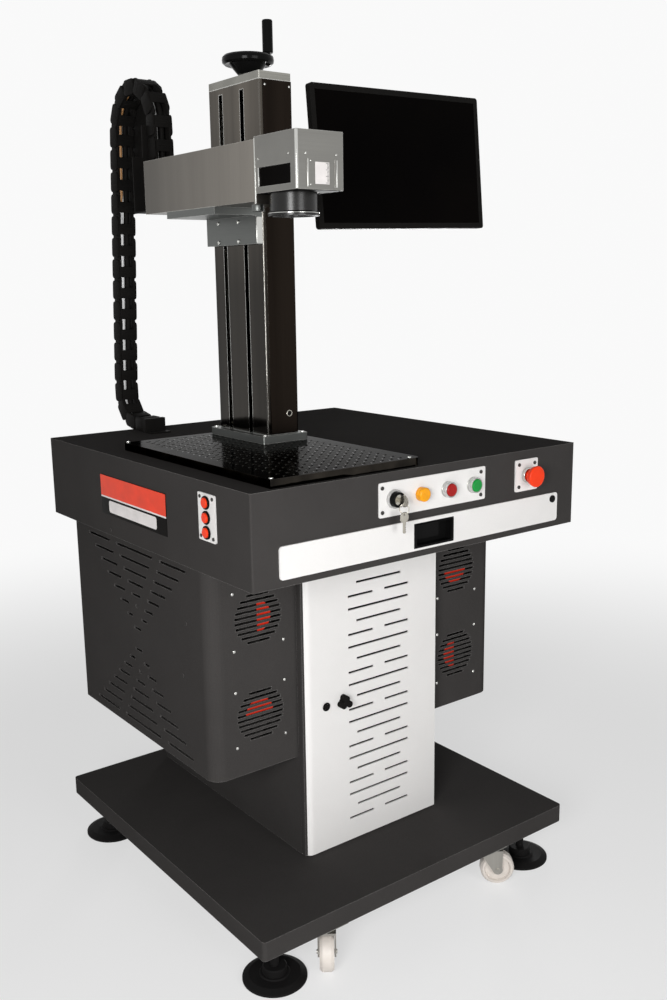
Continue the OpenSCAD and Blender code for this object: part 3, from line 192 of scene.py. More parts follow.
def edgeWearAndPaintedLight(finish, under, colour, radius, reach=0.3):
    # another colour takes over along sharp edges: partly wear, where a finish is thin and rubbed, and partly painted
    # light, a painted highlight where the colour is paler and a painted shade where it is darker
    softened = addNode(finish, "ShaderNodeBevel", {"Radius": mm(radius)}, samples=4)
    sharp = addNode(finish, "ShaderNodeNewGeometry")
    dot = addNode(finish, "ShaderNodeVectorMath", links={0: softened, 1: sharp.outputs["Normal"]},
                  operation="DOT_PRODUCT")
    edgeShare = addNode(finish, "ShaderNodeMapRange", {"From Min": 0.98, "From Max": 1 - reach}, {"Value": dot})
    return addNode(finish, "ShaderNodeMix", {"B": colour}, {"Factor": edgeShare, "A": under}, data_type="RGBA")


def powderCoat(name, facts):
    # Polyester powder on folded steel sheet, baked: satin, with the fine orange peel of melted grains,
    # a little paler along the folds, partly rubbed and partly a painted highlight
    finish = newFinish(name)
    fine = addNode(finish, "ShaderNodeTexNoise", {"Scale": 1000 / facts["grain"], "Detail": 2, "Roughness": 0.6},
                   {"Vector": objectPlace(finish)})
    broad = addNode(finish, "ShaderNodeTexNoise", {"Scale": 7, "Detail": 4, "Roughness": 0.62},
                    {"Vector": objectPlace(finish)})
    shades = [shadeOf(facts["colour"], 1 + change * facts["mottle"]) for change in (-1, 1)]
    tone = addNode(finish, "ShaderNodeValToRGB", links={"Fac": broad}, stops=twoTones(*shades))
    speck = addNode(finish, "ShaderNodeValToRGB", links={"Fac": fine},
                    stops=twoTones(grey(1 - facts["speck"]), grey(1 + facts["speck"]), 0.35, 0.65))
    coat = addNode(finish, "ShaderNodeMix", {"Factor": 1}, {"A": tone, "B": speck}, data_type="RGBA",
                   blend_type="MULTIPLY")
    colour = edgeWearAndPaintedLight(finish, coat, linear(facts["edgeColour"]), facts["edge"], 0.25)
    gloss = addNode(finish, "ShaderNodeMapRange", {"To Min": facts["rough"] - 0.07, "To Max": facts["rough"] + 0.08},
                    {"Value": broad})
    peel = addNode(finish, "ShaderNodeBump", {"Strength": facts["peel"], "Distance": 0.0004}, {"Height": fine})
    return closeFinish(finish, {"IOR": 1.5, "Specular IOR Level": facts["shine"]}, colour, gloss, peel)


def groundMetal(name, facts):
    # Metal brushed or ground along one axis: long fine scratches; slow bands where the belt pressed harder, which on
    # the column and its cover are strong enough to stand for painted reflections; and paler edges, partly wear and
    # partly a painted highlight
    finish = newFinish(name)
    along = [6 if side == facts["axis"] else 1400 for side in "xyz"]
    bandScale = [0.6 if side == facts["axis"] else 14 for side in "xyz"]
    scratch = addNode(finish, "ShaderNodeTexNoise", {"Scale": 1, "Detail": 3, "Roughness": 0.7},
                      {"Vector": objectPlace(finish, along)})
    band = addNode(finish, "ShaderNodeTexNoise", {"Scale": 1, "Detail": 3, "Roughness": 0.5},
                   {"Vector": objectPlace(finish, bandScale)})
    streaks = addNode(finish, "ShaderNodeValToRGB", links={"Fac": scratch},
                      stops=twoTones(grey(1 - facts["streak"]), grey(1 + facts["streak"])))
    shades = [shadeOf(facts["colour"], 1 + change * facts["band"]) for change in (-1, 1)]
    tone = addNode(finish, "ShaderNodeValToRGB", links={"Fac": band}, stops=twoTones(*shades))
    body = addNode(finish, "ShaderNodeMix", {"Factor": 1}, {"A": tone, "B": streaks}, data_type="RGBA",
                   blend_type="MULTIPLY")
    if "fade" in facts:
        # painted light: the colour grows brighter along the piece, standing in for how the light falls along it
        side, start, end, startShare, endShare = facts["fade"]
        place = addNode(finish, "ShaderNodeSeparateXYZ", links={"Vector": objectPlace(finish)})
        share = addNode(finish, "ShaderNodeMapRange", {"From Min": start, "From Max": end, "To Min": startShare,
                                                       "To Max": endShare}, {"Value": place.outputs[side]})
        body = addNode(finish, "ShaderNodeMix", {"Factor": 1}, {"A": body, "B": share}, data_type="RGBA",
                       blend_type="MULTIPLY")
    colour = edgeWearAndPaintedLight(finish, body, linear(facts.get("edgeColour", "#d8d8d4")), facts["edge"])
    gloss = addNode(finish, "ShaderNodeMapRange", {"To Min": facts["rough"] * 0.8, "To Max": facts["rough"] * 1.25},
                    {"Value": scratch})
    groove = addNode(finish, "ShaderNodeBump", {"Strength": facts["groove"], "Distance": 0.0002}, {"Height": scratch})
    return closeFinish(finish, {"Metallic": 1.0}, colour, gloss, groove)


def mouldedPlastic(name, facts):
    # Injection-moulded ABS or nylon: even colour, spark-eroded grain; edges in a paler shade, partly rubbed and partly
    # a painted highlight, and on the amber lens a darker painted shade
    finish = newFinish(name)
    grain = addNode(finish, "ShaderNodeTexNoise", {"Scale": 1000 / facts["grain"], "Detail": 3, "Roughness": 0.55},
                    {"Vector": objectPlace(finish)})
    cloud = addNode(finish, "ShaderNodeTexNoise", {"Scale": 25, "Detail": 4, "Roughness": 0.6},
                    {"Vector": objectPlace(finish)})
    tone = addNode(finish, "ShaderNodeValToRGB", links={"Fac": cloud},
                   stops=twoTones(shadeOf(facts["colour"], 0.9), shadeOf(facts["colour"], 1.08)))
    colour = edgeWearAndPaintedLight(finish, tone, shadeOf(facts["colour"], facts["rub"]), facts.get("edge", 0.5))
    gloss = addNode(finish, "ShaderNodeMapRange", {"To Min": facts["rough"] * 0.8, "To Max": facts["rough"] * 1.25},
                    {"Value": cloud})
    texture = addNode(finish, "ShaderNodeBump", {"Strength": facts["depth"], "Distance": 0.0002}, {"Height": grain})
    return closeFinish(finish, {"IOR": 1.5, "Specular IOR Level": facts.get("shine", 0.5)}, colour, gloss, texture)


finishFacts = {
    "charcoalCoat": dict(colour="#3f3d3c", edgeColour="#8a8886", rough=0.8, grain=1.1, mottle=0.06, speck=0.1,
                         peel=0.16, edge=1.2, shine=0.005),
    "whiteCoat": dict(colour="#e8e6e4", edgeColour="#f2f1ef", rough=0.42, grain=1.0, mottle=0.02, speck=0.015, peel=0.1,
                      edge=1.0, shine=0.3),
    # painted reflection: the column's dark base colour, strong bands and brightening towards the top stand in for
    # mirrored surroundings; its near-white edges are a painted highlight
    "steelColumn": dict(colour="#2f2c28", axis="z", rough=0.08, streak=0.1, band=0.5, groove=0.03, edge=3.2,
                        edgeColour="#f4f4f0", fade=("Z", 1.2, 1.5, 0.9, 3.1)),
    # painted shade: the arm's colour is darker towards its rear, where the light falls off
    "armAluminium": dict(colour="#6e6a64", axis="z", rough=0.36, streak=0.1, band=0.12, groove=0.12, edge=1.0,
                         edgeColour="#cfccc6", fade=("Y", 0.15, -0.2, 0.6, 1.45)),
    "headAluminium": dict(colour="#807f7b", axis="x", rough=0.44, streak=0.1, band=0.08, groove=0.1, edge=1.2,
                          edgeColour="#cccac7"),
    "carriageSteel": dict(colour="#666866", axis="y", rough=0.38, streak=0.1, band=0.1, groove=0.1, edge=1.0),
    "brightSteel": dict(colour="#c9c9c5", axis="z", rough=0.14, streak=0.05, band=0.05, groove=0.03, edge=0.4),
    "zincPlate": dict(colour="#8a8983", axis="x", rough=0.4, streak=0.14, band=0.15, groove=0.1, edge=0.8),
    "castorZinc": dict(colour="#a29f99", axis="z", rough=0.35, streak=0.1, band=0.12, groove=0.08, edge=0.6),
    "keyNickel": dict(colour="#b4b0a6", axis="z", rough=0.24, streak=0.08, band=0.1, groove=0.06, edge=0.3),
    # painted reflection: the cover's strong bands stand in for mirrored streaks, and its pale edges are a painted
    # highlight
    "coverBlack": dict(colour="#1f1a16", axis="z", rough=0.2, streak=0.12, band=0.35, groove=0.05, edge=0.5,
                       edgeColour="#77746f"),
    "blackMoulding": dict(colour="#191817", rough=0.5, grain=0.9, depth=0.18, rub=2.4, shine=0.02),
    "blackGloss": dict(colour="#0f0f0f", rough=0.14, grain=3.0, depth=0.03, rub=2.0, shine=0.05),
    "lensBlack": dict(colour="#131211", rough=0.26, grain=2.0, depth=0.05, rub=2.0, shine=0.32),
    "screwDark": dict(colour="#2c2a28", rough=0.35, grain=2.0, depth=0.05, rub=5.0, shine=0.3),
    "footRubber": dict(colour="#131212", rough=0.7, grain=1.2, depth=0.3, rub=2.0, shine=0.1),
    "castorNylon": dict(colour="#dcd4cc", rough=0.42, grain=1.6, depth=0.12, rub=1.04),
    # painted shade: the amber lamp's edges are drawn darker than its middle
    "amberLens": dict(colour="#f0a004", rough=0.2, grain=2.5, depth=0.1, edge=2.2, rub=0.4, shine=0.3),
    "redCap": dict(colour="#9c0d0a", rough=0.2, grain=2.5, depth=0.08, rub=1.3, shine=0.25),
    "greenCap": dict(colour="#0a8c38", rough=0.2, grain=2.5, depth=0.08, rub=1.3, shine=0.25),
    # painted highlight: the stop button's rim is drawn paler
    "stopRed": dict(colour="#f23f1a", rough=0.3, grain=2.5, depth=0.06, edge=1.2, rub=1.25, shine=0.15),
    "labelRed": dict(colour="#c42a16", rough=0.4, grain=1.4, depth=0.08, rub=1.1, shine=0.05),
    "labelWhite": dict(colour="#e9e4e2", rough=0.4, grain=1.4, depth=0.05, rub=1.0),
    "cableTan": dict(colour="#b98a5a", rough=0.5, grain=1.4, depth=0.2, rub=1.1),
    "cableWhite": dict(colour="#dcdcdc", rough=0.45, grain=1.4, depth=0.2, rub=1.0),
}
coats = ("charcoalCoat", "whiteCoat")
finishes = {}
for finishName, facts in finishFacts.items():
    maker = powderCoat if finishName in coats else groundMetal if "axis" in facts else mouldedPlastic
    finishes[finishName] = maker(finishName, facts)


def workPlateFinish():
    # Black anodised aluminium, buffed: a hard dark gloss with hairline scratches from the workpieces
    finish = newFinish("blackAnodised")
    drag = addNode(finish, "ShaderNodeTexNoise", {"Scale": 1, "Detail": 5, "Roughness": 0.75},
                   {"Vector": objectPlace(finish, (900, 14, 40))})
    smear = addNode(finish, "ShaderNodeTexNoise", {"Scale": 18, "Detail": 5, "Roughness": 0.6},
                    {"Vector": objectPlace(finish)})
    tone = addNode(finish, "ShaderNodeValToRGB", links={"Fac": smear},
                   stops=twoTones(linear("#1d1b19"), linear("#37332e")))
    # paler along the edges: partly wear, partly a painted highlight
    colour = edgeWearAndPaintedLight(finish, tone, linear("#55534f"), 0.9)
    gloss = addNode(finish, "ShaderNodeMapRange", {"From Min": 0.3, "From Max": 0.7, "To Min": 0.07, "To Max": 0.2},
                    {"Value": smear})
    hair = addNode(finish, "ShaderNodeBump", {"Strength": 0.05, "Distance": 0.0001}, {"Height": drag})
    return closeFinish(finish, {"Metallic": 1.0, "Specular Tint": grey(0.27)}, colour, gloss, hair)


def screenFinish():
    # A switched-off LCD behind a semi-gloss film: near black with a faint sparkle
    finish = newFinish("screenGlass")
    film = addNode(finish, "ShaderNodeTexNoise", {"Scale": 900, "Detail": 1}, {"Vector": objectPlace(finish)})
    broad = addNode(finish, "ShaderNodeTexNoise", {"Scale": 5, "Detail": 3}, {"Vector": objectPlace(finish)})
    tone = addNode(finish, "ShaderNodeValToRGB", links={"Fac": broad},
                   stops=twoTones(linear("#050404"), linear("#090706")))
    gloss = addNode(finish, "ShaderNodeMapRange", {"To Min": 0.22, "To Max": 0.32}, {"Value": broad})
    grit = addNode(finish, "ShaderNodeBump", {"Strength": 0.03, "Distance": 0.0001}, {"Height": film})
    return closeFinish(finish, {"IOR": 1.5, "Specular IOR Level": 0.008}, tone, gloss, grit)


def clearRingFinish():
    # Clear polycarbonate collars: they show the white plate through them, with bright rims
    finish = newFinish("clearRing")
    cloud = addNode(finish, "ShaderNodeTexNoise", {"Scale": 220, "Detail": 3}, {"Vector": objectPlace(finish)})
    tone = addNode(finish, "ShaderNodeValToRGB", links={"Fac": cloud},
                   stops=twoTones(linear("#dedddb"), linear("#f2f1ef")))
    gloss = addNode(finish, "ShaderNodeMapRange", {"To Min": 0.08, "To Max": 0.2}, {"Value": cloud})
    return closeFinish(finish, {"IOR": 1.58, "Transmission Weight": 0.55, "Coat Weight": 0.5}, tone, gloss)


finishes["blackAnodised"] = workPlateFinish()
finishes["screenGlass"] = screenFinish()
finishes["clearRing"] = clearRingFinish()

nodeFinishes = {
    "charcoalCoat": ["base_slab", "pedestal", "left_wing", "right_wing", "desk_housing"],
    "whiteCoat": ["door", "drawer_front", "control_plates"],
    "blackAnodised": ["work_plate"],
    "steelColumn": ["column"],
    "armAluminium": ["laser_arm", "laser_source"],
    "headAluminium": ["marking_head"],
    "carriageSteel": ["carriage", "column_base"],
    "brightSteel": ["guide_rails", "lead_screw"],
    "zincPlate": ["column_cap", "castor_plates", "drawer_runners", "drawer_tray"],
    "keyNickel": ["switch_key", "spare_key"],
    "blackMoulding": ["fan_frames", "fan_1", "fan_2", "fan_3", "fan_4", "door_knob", "screen_bracket",
                      "screen_link", "monitor_case", "chain_foot", "chain_plate", "drag_chain", "control_bezels"],
    "blackGloss": ["handwheel", "wheel_grip", "drawer_handle"],
    "lensBlack": ["lens_barrel"],
    "footRubber": [f"foot_{i}" for i in range(1, 5)],
    "castorNylon": [f"castor_wheel_{i}" for i in range(1, 5)],
    "castorZinc": [f"castor_fork_{i}" for i in range(1, 5)],
    "amberLens": ["amber_lamp"],
    "redCap": ["red_button"],
    "greenCap": ["green_button"],
    "stopRed": ["stop_button", "side_button_1", "side_button_2", "side_button_3"],
    "screenGlass": ["monitor_screen"],
}
for finishName, nodeNames in nodeFinishes.items():
    for nodeName in nodeNames:
        for holder in nodes[nodeName].material_slots:
            holder.material = finishes[finishName]
print("finishes set on", sum(len(v) for v in nodeFinishes.values()), "nodes")


# Modelling by hand tools

def clearSelection():
    if bpy.context.object and bpy.context.object.mode != "OBJECT":
        bpy.ops.object.mode_set(mode="OBJECT")
    bpy.ops.object.select_all(action="DESELECT")


def makeActive(piece):
    clearSelection()
    piece.select_set(True)
    bpy.context.view_layer.objects.active = piece


def settle(piece):
    makeActive(piece)
    bpy.ops.object.transform_apply(location=True, rotation=True, scale=True)


def takeNew(name):
    # the piece that the last operator added
    piece = bpy.context.object
    piece.name = piece.data.name = name
    settle(piece)
    return piece


def startBlock(name, low, high, origin=deskMiddle):
    clearSelection()
    lowPlace, highPlace = (origin + Vector(place) / 1000 for place in (low, high))
    bpy.ops.mesh.primitive_cube_add(size=1, location=(lowPlace + highPlace) / 2)
    bpy.context.object.scale = highPlace - lowPlace
    return takeNew(name)


facing = {"z": (0, 0, 0), "-y": (math.pi / 2, 0, 0), "-x": (0, -math.pi / 2, 0)}
facingAxis = {"z": (0, 0, 1), "-y": (0, -1, 0), "-x": (-1, 0, 0), "y": (0, 1, 0), "-z": (0, 0, -1)}


def startRound(name, place, radius, length, towards="z", sides=32):
    # a disc or rod whose foot stands at place and which reaches towards the named side
    clearSelection()
    middle = at(*place) + Vector(facingAxis[towards]) * mm(length) / 2
    bpy.ops.mesh.primitive_cylinder_add(vertices=sides, radius=mm(radius), depth=mm(length), location=middle,
                                        rotation=facing[towards])
    return takeNew(name)


def pickParts(piece, kind, test):
    # edit mode, with the corners, edges or faces selected that pass: the test gets a list of the places of
    # a corner or an edge, or a face's middle and normal
    makeActive(piece)
    bpy.context.tool_settings.mesh_select_mode = [kind == mode for mode in ("corner", "edge", "face")]
    bpy.ops.object.mode_set(mode="EDIT")
    bpy.ops.mesh.select_all(action="DESELECT")
    bpy.ops.object.mode_set(mode="OBJECT")
    mesh = piece.data
    if kind == "face":
        for face in mesh.polygons:
            face.select = test(face.center, face.normal)
    elif kind == "corner":
        for vertex in mesh.vertices:
            vertex.select = test([vertex.co])
    else:
        for edge in mesh.edges:
            edge.select = test([mesh.vertices[i].co for i in edge.vertices])
    bpy.ops.object.mode_set(mode="EDIT")


def closeEdit():
    bpy.ops.object.mode_set(mode="OBJECT")


def boreThrough(piece, axis, border):
    # opens a piece along an axis and leaves a border of so many mm
    direction = Vector(facingAxis[axis])
    pickParts(piece, "face", lambda middle, normal: abs(normal.dot(direction)) > 0.9)
    bpy.ops.mesh.inset(thickness=mm(border))
    bpy.ops.mesh.bridge_edge_loops()
    closeEdit()


def pressFace(piece, axis, border, travel):
    # the face on the named side gets a border, and its middle moves by so many mm
    direction = Vector(facingAxis[axis])
    pickParts(piece, "face", lambda middle, normal: normal.dot(direction) > 0.9)
    bpy.ops.mesh.inset(thickness=mm(border))
    bpy.ops.transform.translate(value=Vector(travel) / 1000)
    closeEdit()


def bevelAlong(piece, axis, width, segments, test=lambda end: True):
    # bevels the edges that run along axis 0, 1 or 2 and whose ends pass the test
    pickParts(piece, "edge", lambda ends: all(test(end) for end in ends) and
              all(abs(ends[0][k] - ends[1][k]) < 1e-6 for k in range(3) if k != axis))
    bpy.ops.mesh.bevel(offset=mm(width), segments=segments)
    closeEdit()


def roundEdges(piece, width, segments=2, angle=35):
    makeActive(piece)
    rounding = piece.modifiers.new("roundEdges", "BEVEL")
    rounding.width, rounding.segments = mm(width), segments
    rounding.limit_method, rounding.angle_limit = "ANGLE", math.radians(angle)
    bpy.ops.object.modifier_apply(modifier=rounding.name)
    bpy.ops.object.shade_smooth_by_angle(angle=math.radians(40))
    return piece


def paint(piece, finishName, slotName):
    piece.data.materials.clear()
    piece.data.materials.append(finishes[finishName])


def dress(piece, finishName, body, slotName):
    paint(piece, finishName, slotName)
    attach(piece, body)
    return piece


def addTrim(name, low, high, rounding, segments, finishName="brightSteel", body="lift", slotName="chrome"):
    # a thin strip or plate with rounded edges
    return dress(roundEdges(startBlock(name, low, high), rounding, segments), finishName, body, slotName)


def copyPiece(master, name, matrix):
    copied = bpy.data.objects.new(name, master.data.copy())
    scene.collection.objects.link(copied)
    copied.data.name = name
    copied.data.transform(matrix)
    return copied


def joinPieces(pieces, name):
    makeActive(pieces[0])
    for piece in pieces[1:]:
        piece.select_set(True)
    bpy.ops.object.join()
    joined = bpy.context.object
    joined.name = joined.data.name = name
    return joined


def cutWith(piece, cutter, how="DIFFERENCE"):
    makeActive(piece)
    cut = piece.modifiers.new("cut", "BOOLEAN")
    cut.operation, cut.object, cut.solver = how, cutter, "EXACT"
    bpy.ops.object.modifier_apply(modifier=cut.name)
    bpy.data.objects.remove(cutter)


# Screws: one cross-head master, copied to each place
crossScrew = {"radius": 1.0, "height": 0.45, "crossLength": 0.62, "crossWidth": 0.2, "crossDepth": 0.22}


def makeScrewMaster():
    # a pan head of radius 1 m, scaled down where it is copied
    clearSelection()
    facts = crossScrew
    bpy.ops.mesh.primitive_cylinder_add(vertices=24, radius=facts["radius"], depth=facts["height"],
                                        location=(0, 0, facts["height"] / 2))
    head = takeNew("screwMaster")
    pickParts(head, "face", lambda middle, normal: normal.z > 0.9)
    bpy.ops.mesh.inset(thickness=0.16)
    bpy.ops.transform.translate(value=(0, 0, 0.1))
    bpy.ops.mesh.inset(thickness=0.3)
    bpy.ops.transform.translate(value=(0, 0, 0.06))
    closeEdit()
    top = facts["height"] + 0.16
    for turn in (0, math.pi / 2):
        bpy.ops.object.select_all(action="DESELECT")
        bpy.ops.mesh.primitive_cube_add(size=1, location=(0, 0, top), rotation=(0, 0, turn))
        bar = bpy.context.object
        bar.scale = (2 * facts["crossLength"], facts["crossWidth"], 2 * facts["crossDepth"])
        settle(bar)
        cutWith(head, bar)
    return roundEdges(head, 25, 2, 50)


screwMaster = makeScrewMaster()


def setScrews(name, places, radius, towards, body, finishName="brightSteel", slotName="chrome"):
    # each cross is turned a little further than the last
    copies = []
    stand = Vector(facingAxis[towards]).to_track_quat("Z", "Y").to_matrix().to_4x4()
    for number, place in enumerate(places):
        turn = Matrix.Rotation(math.radians(20 + 37 * number), 4, "Z")
        copies.append(copyPiece(screwMaster, name, Matrix.Translation(at(*place)) @ stand @ turn @
                                Matrix.Scale(mm(radius), 4)))
    return dress(joinPieces(copies, name), finishName, body, slotName)


def corners(midX, midZ, halfX, halfZ):
    return [(midX + sx * halfX, midZ + sz * halfZ) for sx in (-1, 1) for sz in (-1, 1)]


deskFront, deskLeft, plateOut = -383, -375, 2.5
frontOut, sideOut = deskFront - plateOut, deskLeft - plateOut
fanMiddles = [(-244.5, 621), (-244.5, 437), (244.5, 621), (244.5, 437)]
darkScrew = ("screwDark", "black_gloss")
# name, places, radius, the side they face, the body they ride on, and finish and slot where they aren't bright
screwSets = [
    ("switchPlateScrews", [(x, frontOut, z) for x, z in corners(1, 847, 116, 21)], 3.4, "-y", "frame", *darkScrew),
    ("stopPlateScrews", [(x, frontOut, z) for x, z in corners(238.5, 847, 21, 21)], 3.4, "-y", "frame", *darkScrew),
    ("sidePlateScrews", [(sideOut, y, z) for y, z in corners(-255.5, 835, 19.5, 33)], 3.0, "-x", "frame", *darkScrew),
    ("fanScrews", [(x, -194, z) for fan in fanMiddles for x, z in corners(*fan, 53, 53)], 2.9, "-y", "frame"),
    ("workPlateScrews", [(x, y, 908.5) for x, y in corners(-181.3, -122, 143.3, 244.6)], 3.4, "z", "frame"),
    ("columnBaseScrews", [(x, y, 922.5) for x, y in corners(-93, 18.5, 43, 87.5)], 4.2, "z", "frame"),
    ("headFrontScrews", [(-209.2, -315, 1404.2), (-148.8, -315, 1404.2)], 1.7, "-y", "lift"),
    ("headSlitScrews", [(x, -315, z) for x, z in corners(-175.8, 1375.3, 24.2, 17.8)], 1.3, "-y", "lift"),
    ("headSideScrews", [(-227, -208.5, 1403.4), (-227, -294.6, 1404.8)], 1.7, "-x", "lift"),
    ("carriageScrews", [(-141.3, y, z) for y, z in corners(28, 1298.5, 35, 17.5)], 3.6, "-x", "lift"),
]
for screwSet in screwSets:
    setScrews(*screwSet)
print("screws set")

# Fans: bare half-round labels on the hubs
fanLabel = {"radius": 29.5, "thickness": 0.3, "front": -189.5, "turns": [90, 0, 180, -90]}


def makeFanLabels():
    facts = fanLabel
    for number, (midX, midZ) in enumerate(fanMiddles):
        place = (midX, facts["front"], midZ)
        disc = startRound(f"fanLabel_{number + 1}", place, facts["radius"], facts["thickness"], "-y", 40)
        makeActive(disc)
        bpy.ops.object.mode_set(mode="EDIT")
        bpy.ops.mesh.select_all(action="SELECT")
        turn = math.radians(facts["turns"][number])
        normal = (math.sin(turn), 0, math.cos(turn))
        bpy.ops.mesh.bisect(plane_co=at(*place), plane_no=normal, use_fill=True, clear_inner=True)
        closeEdit()
        dress(roundEdges(disc, 0.1, 1), "labelRed", f"fan_{number + 1}", "dark_red")


makeFanLabels()

# Name plate on the left side: its red and pale fields are bare
namePlate = {"y": (-115, 145), "z": (775, 852), "thickness": 1.2, "redFrom": 811, "line": 3, "border": 1,
             "paleLow": (-78, 781), "paleHigh": (112, 804), "fieldOut": 0.3}


def makeNamePlate():
    facts = namePlate
    (front, rear), (low, high), redFrom = facts["y"], facts["z"], facts["redFrom"]
    out = deskLeft - facts["thickness"]
    fieldOut, fieldFront, fieldRear = out - facts["fieldOut"], front + facts["border"], rear - facts["border"]
    addTrim("namePlateBack", (out, front, low), (deskLeft, rear, high), 0.5, 2, "blackMoulding", "frame", "black_gloss")
    addTrim("namePlateRed", (fieldOut, fieldFront, redFrom), (out, fieldRear, high - facts["border"]), 0.12, 1,
            "stopRed", "frame", "stop_red")
    addTrim("namePlateLine", (fieldOut, fieldFront, redFrom - facts["line"]), (out, fieldRear, redFrom), 0.12, 1,
            "labelWhite", "frame", "white_panel")
    pale = startBlock("namePlatePale", (fieldOut, *facts["paleLow"]), (out, *facts["paleHigh"]))
    bevelAlong(pale, 0, 5, 5)
    dress(roundEdges(pale, 0.12, 1, 60), "labelWhite", "frame", "white_panel")


makeNamePlate()

# Switch fittings, in place of the plain collars: key switch, clear collars, stop collar, side collars
switchFacts = {
    "z": 847, "keyX": -89.5, "stopX": 238.5, "buttons": {"redCollar": 34.5, "greenCollar": 96.5},
    "sideY": -255.5, "sideZ": [810, 835, 860],
    # outer and inner radius, height, and the rounding of the lip
    "silver": (16.5, 13.2, 6, 1.4), "barrel": (13.4, 9.1, 16.2, 2.2), "foot": (14.5, 11.6, 2.2, 0.6),
    "clear": (14.2, 11.6, 9.2, 1), "stop": (14.5, 9.1, 8, 1.6), "side": (11.5, 8.6, 3.5, 1),
}


def makeCollar(name, place, outer, inner, height, towards, lip, sides=48):
    collar = startRound(name, place, outer, height, towards, sides)
    boreThrough(collar, towards, outer - inner)
    return roundEdges(collar, lip, 3)


def makeSwitchFittings():
    facts = switchFacts
    z = facts["z"]
    key = (facts["keyX"], frontOut, z)
    rows = [("keySilverRing", "silver", key, "-y", "clearRing", "ring_clear"),
            ("keyBarrel", "barrel", key, "-y", "blackGloss", "black_gloss")]
    for name, x in facts["buttons"].items():
        rows.append((name + "Foot", "foot", (x, frontOut, z), "-y", "brightSteel", "chrome"))
        rows.append((name, "clear", (x, frontOut - facts["foot"][2], z), "-y", "clearRing", "ring_clear"))
    rows.append(("stopCollar", "stop", (facts["stopX"], frontOut, z), "-y", "brightSteel", "chrome"))
    for number, sideZ in enumerate(facts["sideZ"]):
        rows.append((f"sideCollar_{number + 1}", "side", (sideOut, facts["sideY"], sideZ), "-x", "blackGloss",
                     "black_gloss"))
    for name, kind, place, towards, finishName, slotName in rows:
        outer, inner, height, lip = facts[kind]
        collar = makeCollar(name, place, outer, inner, height, towards, lip)
        dress(collar, finishName, "frame", slotName)
        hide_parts("control_bezels")


makeSwitchFittings()

# Spare keys on a wire ring through the switch key: a bright one that faces the front, and one behind it in a dark
# finish, as painted shade
spareFacts = {"x": -89.5, "y": -412.5, "wireZ": 841.4, "ring": 8, "wire": 0.9, "bow": 9.2, "thick": 1.5, "hole": 1.9,
              "bladeLength": 20, "bladeWidth": 5.6, "turn": -40,
              # how far each key stands off to the right and back, how much lower it hangs, its cuts and its finish
              "keys": {"spareKeyFront": (0, 0, (7, 10.5, 14), "keyNickel"),
                       # the back key's dark finish is painted shade
                       "spareKeyBackShaded": (2.4, 0.3, (8, 12, 15.5), "screwDark")}}


def makeSpareKey(name, x, y, hangZ, cuts):
    facts = spareFacts
    thick, halfWide = facts["thick"], facts["bladeWidth"] / 2
    bowZ = hangZ - facts["bow"] + 2 * facts["hole"]
    bow = startRound(name, (x, y + thick / 2, bowZ), facts["bow"], thick, "-y", 40)
    bladeTop = bowZ - facts["bow"] + 2
    blade = startBlock("keyBlade", (x - halfWide, y - thick / 2, bladeTop - facts["bladeLength"]),
                       (x + halfWide, y + thick / 2, bladeTop))
    bevelAlong(blade, 1, 1.8, 3, lambda end: end.z < mm(bladeTop - 1))
    for step in cuts:
        cutWith(blade, startRound("keyCut", (x + halfWide, y + 3, bladeTop - step), 1.2, 6, "-y", 12))
    cutWith(bow, blade, "UNION")
    cutWith(bow, startRound("keyHole", (x, y + 3, hangZ), facts["hole"], 6, "-y", 20))
    return roundEdges(bow, 0.3, 2, 50)


def makeSpareKeys():
    facts = spareFacts
    clearSelection()
    ringZ = facts["wireZ"] - facts["ring"]
    bpy.ops.mesh.primitive_torus_add(major_radius=mm(facts["ring"]), minor_radius=mm(facts["wire"]), major_segments=40,
                                     minor_segments=12, location=at(facts["x"], facts["y"], ringZ),
                                     rotation=(math.pi / 2, 0, math.radians(facts["turn"])))
    pieces = [(takeNew("keyRing"), "keyNickel")]
    bpy.ops.object.shade_smooth()
    hangZ = ringZ - facts["ring"] - facts["hole"] + facts["wire"]
    for name, (off, lower, cuts, finishName) in facts["keys"].items():
        pieces.append((makeSpareKey(name, facts["x"] + off, facts["y"] + off, hangZ - lower, cuts), finishName))
    for piece, finishName in pieces:
        dress(piece, finishName, "spare", "chrome")
        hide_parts("spare_key")


makeSpareKeys()
print("switches and keys made")

# Work plate with its grid of fixture holes: one tile of the grid is modelled and repeated
plateFacts = {
    "firstX": -292.5, "firstY": -358.5, "columns": 13, "rows": 24, "pitch": 20, "holeRadius": 2.5, "top": 908.5,
    "thickness": 15, "left": -329, "right": -16, "front": -372, "rear": 128, "cornerRadius": 13,
}


